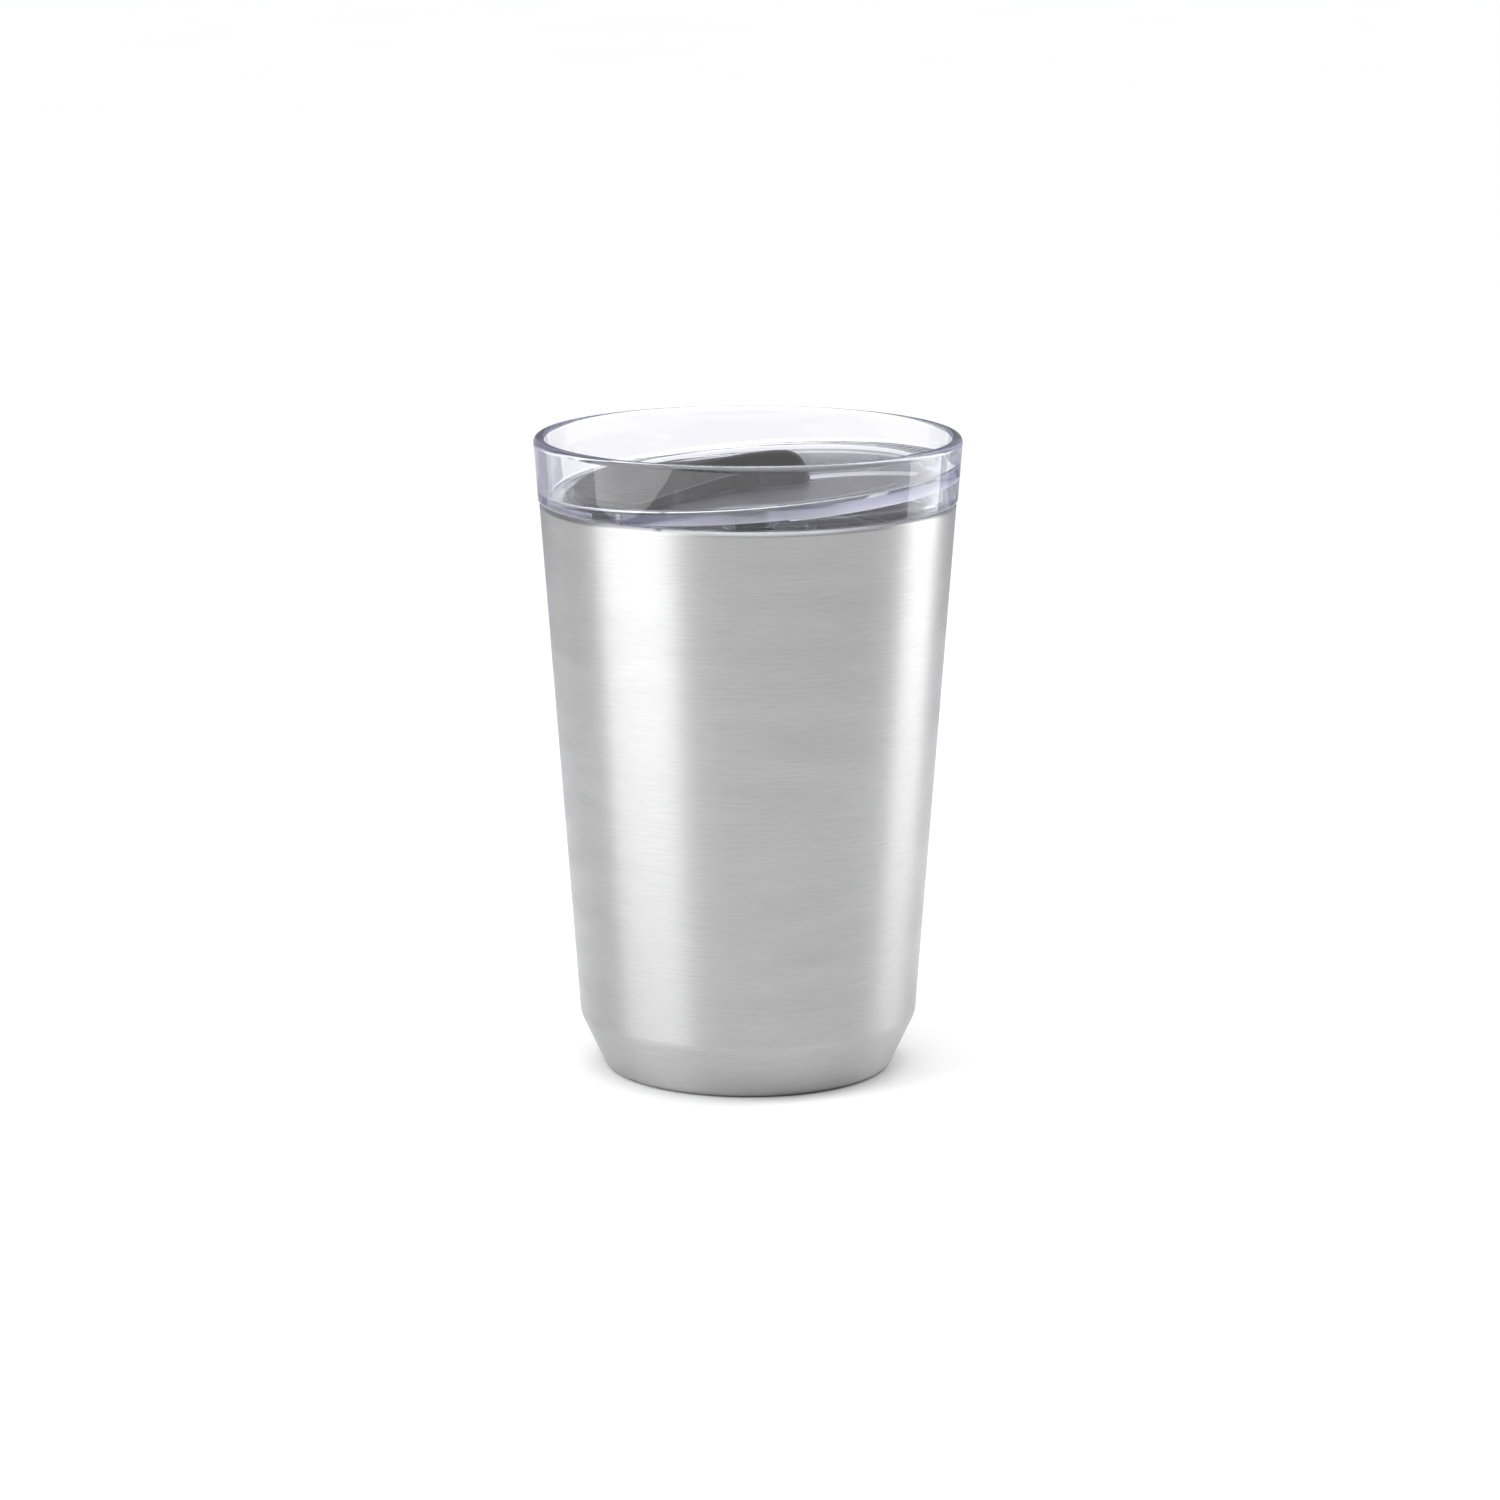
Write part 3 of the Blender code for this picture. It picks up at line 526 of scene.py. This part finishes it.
def thread_ridge(name, root, crest, start, first, sweep, rise):
    """One helical ridge that runs out into its wall at both ends."""
    steps = round(math.degrees(sweep) / DEGREES_PER_STEP)
    run_out = RUN_OUT_DEGREES / DEGREES_PER_STEP
    rings = []
    for i in range(steps + 1):
        angle = first + sweep * i / steps
        middle = THREAD_BOTTOM + rise + THREAD_LEAD * angle / (2 * math.pi)
        fade = min(1.0, i / run_out, (steps - i) / run_out)
        top = root + (crest - root) * max(fade, LEAST_CREST)
        section = [
            (root, -RIDGE_BASE / 2),
            (top, -RIDGE_CREST / 2),
            (top, RIDGE_CREST / 2),
            (root, RIDGE_BASE / 2),
        ]
        turn = angle + 2 * math.pi * start / THREAD_STARTS
        across, along = MM * math.cos(turn), MM * math.sin(turn)
        rings.append([(r * across, r * along, (middle + z) * MM) for r, z in section])
    return lofted(name, rings)


def liner():
    """The cup that holds the drink, with two thread ridges rolled into its neck."""
    neck = NECK_RADIUS + STEEL
    mouth = (neck, MOUTH_HEIGHT)
    neck_foot = (neck, SHOULDER_TOP)
    wall_top = (liner_radius(SHOULDER_BOTTOM), SHOULDER_BOTTOM)
    corner = (liner_radius(LINER_FLOOR_HEIGHT), LINER_FLOOR_HEIGHT)
    centre = (0.0, LINER_FLOOR_HEIGHT)
    skin = (
        [mouth]
        + rounded(mouth, neck_foot, wall_top, 1.0, 6)
        + rounded(neck_foot, wall_top, corner, 2.5, 8)
        + rounded(wall_top, corner, centre, LINER_CORNER, 14)
        + [centre]
    )
    made = turned("liner_wall", thickened(skin, STEEL))
    rise = THREAD_LEAD / THREAD_STARTS / 2
    ridges = [
        thread_ridge(
            f"neck_ridge_{start}",
            NECK_RADIUS + STEEL / 2,
            NECK_CREST_RADIUS,
            start,
            NECK_RIDGE_START,
            NECK_RIDGE_ARC,
            rise,
        )
        for start in range(THREAD_STARTS)
    ]
    return combined(made, [("UNION", ridge) for ridge in ridges])


def base_cap():
    """The pan that closes the vacuum from below."""
    edge = foot_ring_inner() - GAP
    high = BASE_PLATE_HEIGHT + STEEL
    hole = (PUMP_HOLE_RADIUS, high)
    shelf = (edge - CAP_SHELF_WIDTH, high)
    rim = (edge, BASE_PLATE_HEIGHT - CAP_SHOULDER_DROP)
    low = (edge, BASE_PLATE_HEIGHT - CAP_SKIRT_DROP)
    skin = (
        [hole]
        + rounded(hole, shelf, rim, 0.7, 5)
        + rounded(shelf, rim, low, 0.55, 4)
        + [low]
    )
    return turned("base_cap", thickened(skin, STEEL))


def base_disc():
    """The thin disc that hides the seal, with a shallow step near its edge."""
    high = BASE_PLATE_HEIGHT - FIT - GAP
    low = high - COVER_STEP
    edge = foot_ring_inner() - GAP - COVER_MARGIN
    step, step_foot = [
        (edge - inward, height) for inward, height in zip(COVER_STEP_FROM_EDGE, (high, low))
    ]
    skin = (
        [(0.0, high)]
        + rounded((0.0, high), step, step_foot, 1.5, 4)
        + rounded(step, step_foot, (edge, low), 1.5, 4)
        + [(edge, low)]
    )
    return turned("base_disc", thickened(skin, COVER_THICKNESS))


# Lid


def cut_by_floor(mesh, depth, keep_above):
    """Cuts a mesh along the slanted floor's plane, a depth below the ledge, and closes the cut."""
    place = axes_to_floor()
    normal = (place.to_3x3() @ Vector((0, 0, 1))).normalized()
    cut = bmesh.ops.bisect_plane(
        mesh,
        geom=mesh.verts[:] + mesh.edges[:] + mesh.faces[:],
        plane_co=place @ Vector((0, 0, -depth * MM)),
        plane_no=normal,
        clear_inner=keep_above,
        clear_outer=not keep_above,
    )["geom_cut"]
    rim = [part for part in cut if isinstance(part, bmesh.types.BMEdge)]
    bmesh.ops.contextual_create(mesh, geom=rim)
    return rim


def lid_blank():
    """The lid's outside as one solid: skirt, flange, collar and rounded rim."""
    wall_foot = (LID_FOOT_RADIUS, FLANGE_FOOT)
    flange_edge = (GROOVE_RADIUS, FLANGE_FOOT)
    rim = (RIM_RADIUS, OVERALL_HEIGHT)
    rim_inner = (RIM_RADIUS - LID_WALL, OVERALL_HEIGHT)
    groove_low = FLANGE_FOOT - GASKET_HEIGHT - 2 * GAP
    return (
        [(0.0, SKIRT_FOOT)]
        + rounded((0.0, SKIRT_FOOT), (SKIRT_RADIUS, SKIRT_FOOT), (SKIRT_RADIUS, groove_low), 0.4, 4)
        + [(SKIRT_RADIUS, groove_low), (GROOVE_RADIUS, groove_low), flange_edge]
        + rounded(flange_edge, wall_foot, rim, 0.5, 5)
        + rounded(wall_foot, rim, rim_inner, RIM_ROUND, 10)
        + rounded(rim, rim_inner, (rim_inner[0] - 1.0, FLOOR_HEIGHT), RIM_ROUND, 10)[:-1]
        + [(rim_inner[0], OVERALL_HEIGHT - RIM_ROUND), (0.0, OVERALL_HEIGHT - RIM_ROUND)]
    )


def well():
    """The space above the slanted floor, with a fillet where it meets the floor."""
    top = RIM_RADIUS - LID_WALL
    collar_at_floor = LID_FOOT_RADIUS + (FLOOR_HEIGHT - FLANGE_FOOT) / (OVERALL_HEIGHT - FLANGE_FOOT)
    foot = collar_at_floor - LID_WALL
    low = MOUTH_HEIGHT - 5.0  # anywhere below the floor, which cuts this off
    outline = [
        (0.0, low),
        (foot, low),
        (foot, FLOOR_HEIGHT),
        (top, OVERALL_HEIGHT - RIM_ROUND),
        (top, OVERALL_HEIGHT + PAST),
        (0.0, OVERALL_HEIGHT + PAST),
    ]
    mesh = turned_mesh(outline, TURN_STEPS)
    rim = cut_by_floor(mesh, 0.0, keep_above=True)
    bmesh.ops.bevel(mesh, geom=rim, offset=FLOOR_FILLET * MM, segments=6, profile=0.5, affect="EDGES")
    return object_from("well", mesh)


def hollow():
    """The space under the slanted floor, open down through the skirt."""
    skirt = SKIRT_RADIUS - SKIRT_WALL
    shelf = FLANGE_FOOT + FLANGE
    outline = [
        (0.0, SKIRT_FOOT - PAST),
        (skirt, SKIRT_FOOT - PAST),
        (skirt, shelf),
        (UNDER_LEDGE_RADIUS, shelf),
        (UNDER_LEDGE_RADIUS, OVERALL_HEIGHT),
        (0.0, OVERALL_HEIGHT),
    ]
    mesh = turned_mesh(outline, TURN_STEPS)
    cut_by_floor(mesh, FLOOR_THICKNESS, keep_above=False)
    return object_from("hollow", mesh)


def port_outline(margin=0.0):
    """The drinking port seen from above: a bent slot with round ends."""
    half = PORT_WIDTH / 2 + margin
    high = math.pi + PORT_HALF_ANGLE
    low = math.pi - PORT_HALF_ANGLE
    ends = []
    for angle, first in ((high, 0.0), (low, math.pi)):
        centre = (PORT_RADIUS * math.cos(angle), PORT_RADIUS * math.sin(angle))
        ends.append(arc(centre, half, angle + first, angle + first + math.pi, 16)[1:-1])
    outer = arc((0, 0), PORT_RADIUS + half, low, high, 21)
    inner = arc((0, 0), PORT_RADIUS - half, high, low, 21)
    return outer + ends[0] + inner + ends[1]


def round_cutter(name, radius, low, edge, steps):
    """A round cutter in the floor's frame, whose upper edge flares out by the edge's radius."""
    flare = arc((radius + edge, -edge), edge, math.pi, math.pi / 2, 4)
    outline = [(0.0, low), (radius, low)] + flare + [(radius + edge, CUTTER_TOP), (0.0, CUTTER_TOP)]
    return on_floor(turned(name, outline, steps))


def boss():
    outline = (
        [(0.0, BOSS_FOOT)]
        + rounded((0.0, BOSS_FOOT), (BOSS_RADIUS, BOSS_FOOT), (BOSS_RADIUS, 0.0), 0.4, 4)
        + [(BOSS_RADIUS, -FLOOR_THICKNESS + BOSS_SINK), (0.0, -FLOOR_THICKNESS + BOSS_SINK)]
    )
    return on_floor(turned("boss", outline, SMALL_STEPS))


def rib(name, turn):
    half = RIB_THICKNESS / 2
    root = BOSS_RADIUS - 1.0
    outline = [(root, -half), (RIB_REACH, -half), (RIB_REACH, half), (root, half)]
    made = slab(name, outline, RIB_FOOT, -FLOOR_THICKNESS + RIB_SINK)
    made.matrix_world = axes_to_floor() @ Matrix.Rotation(turn, 4, "Z")
    return made


def clear_lid():
    """The clear moulding: collar, slanted floor with recess, port and boss, flange, skirt and thread."""
    blank = turned("clear_lid", lid_blank())
    changes = [
        ("DIFFERENCE", well()),
        ("DIFFERENCE", hollow()),
        ("UNION", boss()),
        ("UNION", rib("rib_front", -RIB_ANGLE)),
        ("UNION", rib("rib_back", RIB_ANGLE)),
        ("DIFFERENCE", round_cutter("recess", RECESS_RADIUS, -RECESS_DEPTH, RECESS_EDGE, TURN_STEPS)),
        ("DIFFERENCE", round_cutter("stem_hole", STEM_HOLE_RADIUS, BOSS_FOOT - PAST, 0.2, SMALL_STEPS)),
        ("DIFFERENCE", on_floor(slab("port", port_outline(), -FLOOR_THICKNESS - PAST, CUTTER_TOP))),
    ]
    for start in range(THREAD_STARTS):
        ridge = thread_ridge(
            f"lid_ridge_{start}", SKIRT_RADIUS - 0.3, LID_CREST_RADIUS, start, 0.0, LID_RIDGE_ARC, 0.0
        )
        changes.append(("UNION", ridge))
    return combined(blank, changes)


def frost_underside(lid):
    """Gives the underside of the slanted floor the second material, which is frosted."""
    place = axes_to_floor().inverted()
    turn = place.to_3x3()
    for face in lid.data.polygons:
        middle = (place @ face.center) / MM
        normal = turn @ face.normal
        under = abs(middle.z + FLOOR_THICKNESS) < 0.05 and normal.z < -0.9
        face.material_index = 1 if under else 0


def gasket():
    """The ring in the skirt's groove, with two soft ribs that press on the neck."""
    inner = GROOVE_RADIUS + GAP
    outer = NECK_RADIUS - GAP
    low = FLANGE_FOOT - GAP - GASKET_HEIGHT
    high = low + GASKET_HEIGHT
    valley = outer - GASKET_VALLEY
    ribs = []
    for middle in (low + GASKET_RIB, high - GASKET_RIB):
        ribs += arc((valley, middle), GASKET_RIB, -math.pi / 2, math.pi / 2, 8)
    ribs = [(valley + (r - valley) * GASKET_VALLEY / GASKET_RIB, z) for r, z in ribs]
    return turned("gasket_ring", [(inner, low)] + ribs + [(inner, high)])


# Plug, all in the slanted floor's own frame


def eased(value, start, end):
    """0 before the start, 1 past the end, and a smooth rise between them."""
    share = min(1.0, max(0.0, (value - start) / (end - start)))
    return math.sin(share * math.pi / 2) ** 1.5


def tail_fall(along, start):
    """1 before the start, then a rounded fall to 0 at the tail's end."""
    share = min(1.0, max(0.0, (along - start) / (TAIL_END - start)))
    return (1 - share**4) ** (1 / 4)


def plug_half_width(along):
    """The round end follows the recess, then eases into the waist; the tail widens and rounds off."""
    corner = PLUG_RADIUS * math.cos(ROUND_END_HALF_ANGLE)
    if along < WAIST_AT:
        left = (WAIST_AT - along) / (WAIST_AT + corner)
        taper = WAIST_HALF_WIDTH + (corner - WAIST_HALF_WIDTH) * left**TAPER_EASE
        circle = math.sqrt(PLUG_RADIUS**2 - along**2)
        return (circle**-CORNER_CRISPNESS + taper**-CORNER_CRISPNESS) ** (-1 / CORNER_CRISPNESS)
    share = min(1.0, (along - WAIST_AT) / (TAIL_AT - WAIST_AT))
    width = WAIST_HALF_WIDTH + (TAIL_HALF_WIDTH - WAIST_HALF_WIDTH) * share
    return width * tail_fall(along, TAIL_AT)


def plug_section(along):
    """The plug cut across at one distance from its stem: (across, height) points, over the top."""
    width = plug_half_width(along)
    fall = tail_fall(along, HUMP_PEAK_AT)
    shoulder = PLATE_TOP + SHOULDER_HEIGHT * eased(along, SHOULDER_START, HUMP_PEAK_AT)
    ridge = PLATE_TOP + HUMP_HEIGHT * eased(along, HUMP_START, HUMP_PEAK_AT)
    shoulder = PLATE_LOW + (shoulder - PLATE_LOW) * fall
    ridge = PLATE_LOW + (ridge - PLATE_LOW) * fall
    top_edge = min(TOP_EDGE, width / 3, (shoulder - PLATE_LOW) / 3)
    low_edge = min(LOW_EDGE, top_edge)
    half = arc((width - low_edge, PLATE_LOW + low_edge), low_edge, -math.pi / 2, 0.0, 3)
    half += arc((width - top_edge, shoulder - top_edge), top_edge, 0.0, math.pi / 2, 5)
    for i in range(1, 10):
        share = 1 - i / 10
        height = shoulder + (ridge - shoulder) * math.cos(share * math.pi / 2)
        half.append(((width - top_edge) * share, height))
    return half + [(0.0, ridge)] + [(-x, z) for x, z in reversed(half)]


def plug_stations():
    """Distances from the stem at which the plug is cut across, from its round end to its tail."""
    first = math.radians(1.5)
    sweep = ROUND_END_HALF_ANGLE - first
    corner = -PLUG_RADIUS * math.cos(ROUND_END_HALF_ANGLE)
    round_end = [-PLUG_RADIUS * math.cos(first + sweep * i / 28) for i in range(28)]
    taper = [corner + (WAIST_AT - corner) * i / 30 for i in range(30)]
    grip = [WAIST_AT + (TAIL_AT - WAIST_AT) * i / 12 for i in range(12)]
    tail = [TAIL_AT + (TAIL_END - TAIL_AT) * math.sin(i / 20 * math.pi / 2) for i in range(20)]
    return round_end + taper + grip + tail


def plug():
    """The humped plate and its stem, moulded as one."""
    rings = [
        [(along * MM, across * MM, height * MM) for across, height in plug_section(along)]
        for along in plug_stations()
    ]
    plate = on_floor(lofted("plug_moulding", rings))
    tip = BOSS_FOOT - GAP - RETAINER_HEIGHT - STEM_TIP
    groove = (RING_GROOVE - RING_SECTION - 2 * FIT, RING_GROOVE + RING_SECTION + 2 * FIT)
    middle = (PLATE_LOW + PLATE_TOP) / 2
    outline = [
        (0.0, tip),
        (STEM_NECK_RADIUS - STEM_TIP_CHAMFER, tip),
        (STEM_NECK_RADIUS, tip + STEM_TIP_CHAMFER),
        (STEM_NECK_RADIUS, BOSS_FOOT - GAP),
        (STEM_RADIUS, BOSS_FOOT - GAP),
        (STEM_RADIUS, groove[0]),
        (STEM_RADIUS - 2 * RING_SECTION, groove[0]),
        (STEM_RADIUS - 2 * RING_SECTION, groove[1]),
        (STEM_RADIUS, groove[1]),
        (STEM_RADIUS, middle),
        (0.0, middle),
    ]
    stem = on_floor(turned("stem", outline, SMALL_STEPS))
    pocket_outline = port_outline(SEAL_MARGIN + GAP)
    pocket = on_floor(slab("pocket", pocket_outline, PLATE_LOW - 1.0, PLATE_LOW + SEAL_THICKNESS))
    return combined(plate, [("UNION", stem), ("DIFFERENCE", pocket)])


def seal_pad():
    """The soft pad in the plate's underside that covers the port."""
    top = PLATE_LOW + SEAL_THICKNESS - GAP
    return on_floor(slab("port_seal_pad", port_outline(SEAL_MARGIN), PLATE_LOW - GAP / 3, top))


def stem_ring():
    """The O-ring in the stem's groove."""
    centre = (STEM_HOLE_RADIUS - FIT - RING_SECTION, RING_GROOVE)
    section = arc(centre, RING_SECTION, 0.0, 2 * math.pi, 20)[:-1]
    return on_floor(turned("stem_ring", section, SMALL_STEPS))


def retainer():
    """The collar snapped on the stem's neck below the boss, which keeps the plug in the lid."""
    top = BOSS_FOOT - GAP - FIT
    low = BOSS_FOOT - GAP - RETAINER_HEIGHT
    hole = STEM_NECK_RADIUS + FIT
    inward, upward = RETAINER_CHAMFER
    shoulder = (RETAINER_RADIUS, low + upward)
    foot = (RETAINER_RADIUS - inward, low)
    upper = (RETAINER_RADIUS, top)
    outline = (
        [(hole, low)]
        + rounded((hole, low), foot, shoulder, 0.3, 4)
        + rounded(foot, shoulder, upper, 0.5, 4)
        + rounded(shoulder, upper, (hole, top), 0.25, 4)
        + [(hole, top)]
    )
    return on_floor(turned("retainer_clip", outline, SMALL_STEPS))


# Surroundings


def pale_floor():
    """A wide round floor under the tumbler."""
    mesh = bmesh.new()
    bmesh.ops.create_circle(mesh, cap_ends=True, segments=96, radius=9.0)
    floor = object_from("pale_floor", mesh)
    floor.location.z = -0.02 * MM
    made, tree, shader = new_material("pale_floor")
    mottling = stretched_noise(tree, 6.0, (1, 1, 1), detail=3.0)
    tree.links.new(
        tones(tree, mottling, (0.86, 0.86, 0.865), (0.88, 0.88, 0.885)), shader.inputs["Base Color"]
    )
    set_inputs(shader, Roughness=0.7, **{"Specular IOR Level": 0.2})
    floor.data.materials.append(made)


def softbox(name, azimuth, distance, height, size, radiance):
    """An upright soft lamp that faces the tumbler. Azimuth 0 is the camera's side and 90 is +X."""
    lamp = bpy.data.lights.new(name, "AREA")
    lamp.shape = "RECTANGLE"
    lamp.size = size[0]
    lamp.size_y = size[1]
    lamp.energy = radiance * math.pi * size[0] * size[1]
    made = bpy.data.objects.new(name, lamp)
    bpy.context.scene.collection.objects.link(made)
    angle = math.radians(azimuth)
    made.location = (distance * math.sin(angle), -distance * math.cos(angle), height)
    aim = Vector((-made.location.x, -made.location.y, 0))
    made.rotation_euler = aim.to_track_quat("-Z", "Y").to_euler()
    made.visible_camera = False
    made.visible_transmission = False


def edge_card(name, azimuth):
    """A cool grey card beside the frame. It gives the clear collar and the steel their darker edges."""
    half_width, height, distance = 0.16, 0.7, 0.6
    angle = math.radians(azimuth)
    mesh = bmesh.new()
    corners = [(-half_width, 0), (half_width, 0), (half_width, height), (-half_width, height)]
    mesh.faces.new([mesh.verts.new((across, 0, up)) for across, up in corners])
    card = object_from(name, mesh)
    card.location = (distance * math.sin(angle), -distance * math.cos(angle), 0)
    card.rotation_euler = (0, 0, angle)
    made, tree, shader = new_material(name)
    grain = stretched_noise(tree, 8.0, (1, 1, 1))
    colour = tones(tree, grain, (0.4, 0.4, 0.46), (0.44, 0.44, 0.5))
    tree.links.new(colour, shader.inputs["Base Color"])
    set_inputs(shader, Roughness=0.8)
    card.data.materials.append(made)
    card.visible_camera = card.visible_diffuse = card.visible_shadow = False


def soft_sun():
    """Even light from above that keeps the floor white out to the horizon."""
    lamp = bpy.data.lights.new("overhead_light", "SUN")
    lamp.energy = OVERHEAD_LIGHT
    lamp.angle = OVERHEAD_ANGLE
    made = bpy.data.objects.new("overhead_light", lamp)
    bpy.context.scene.collection.objects.link(made)


def studio():
    scene = bpy.context.scene
    scene.view_settings.view_transform = "Standard"
    world = bpy.data.worlds.new("studio")
    world.use_nodes = True
    background = world.node_tree.nodes["Background"]
    background.inputs["Color"].default_value = (1.0, 1.0, 1.0, 1)
    background.inputs["Strength"].default_value = SURROUNDINGS_LIGHT
    scene.world = world
    scene.cycles.max_bounces = LIGHT_BOUNCES
    scene.cycles.transmission_bounces = LIGHT_BOUNCES
    scene.cycles.glossy_bounces = LIGHT_BOUNCES
    pale_floor()
    softbox("left_softbox", -63, 0.42, 0.46, (0.38, 0.9), LEFT_LIGHT)
    softbox("right_softbox", 108, 0.42, 0.46, (0.22, 0.9), RIGHT_LIGHT)
    soft_sun()
    edge_card("left_card", -150)
    edge_card("right_card", 150)


def camera():
    made = bpy.data.objects.new("camera", bpy.data.cameras.new("camera"))
    bpy.context.scene.collection.objects.link(made)
    made.location = (0, -CAMERA_BACK, CAMERA_HEIGHT)
    made.rotation_euler = (math.pi / 2 - CAMERA_DIP, 0, 0)
    made.data.lens = CAMERA_LENS
    made.data.shift_x = CAMERA_SHIFT
    made.data.clip_start = 0.01
    bpy.context.scene.camera = made


def build():
    brushed = steel("brushed_wall_steel", (0.41, 0.41, 0.41), (0.5, 0.5, 0.5), 0.38, 0.44, 0.3)
    satin = steel("satin_liner_steel", (0.78, 0.78, 0.78), (0.85, 0.85, 0.85), 0.5, 0.6, 0.15, 0.3, 0.6)
    clear = clear_plastic("polished_copolyester", (0.985, 0.983, 1.0), 0.012, 0.02)
    frosted = clear_plastic("frosted_copolyester", (0.93, 0.91, 0.9), 0.35, 0.1)
    grey = grey_plastic()
    soft = silicone()

    shown(shell(), "tumbler_body", "outer_shell", "brushed_steel", brushed)
    shown(liner(), "tumbler_body", "inner_liner", "satin_steel", satin)
    shown(base_cap(), "tumbler_body", "bottom_cap", "satin_steel", satin)
    shown(base_disc(), "tumbler_body", "base_cover_disc", "brushed_steel", brushed)
    lid = shown(clear_lid(), "lid", "lid_collar", "clear_copolyester", clear, frosted)
    frost_underside(lid)
    shown(gasket(), "lid_seal", "lid_gasket", "translucent_silicone", soft)
    shown(plug(), "plug", "plug", "grey_polypropylene", grey, sharp=40)
    shown(seal_pad(), "plug", "port_seal", "translucent_silicone", soft)
    shown(stem_ring(), "plug", "stem_o_ring", "translucent_silicone", soft)
    shown(retainer(), "plug", "plug_retainer", "grey_polypropylene", grey)

    kept = {
        "vacuum_seal_bead": solder_glass(),
        "getter_pellet": getter_alloy(),
        "getter_strap": satin,
    }
    kept["foil_sleeve"] = kept["foil_disc"] = copper_foil()
    for name, material in kept.items():
        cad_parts[name].data.materials.clear()
        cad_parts[name].data.materials.append(material)


build()
studio()
camera()
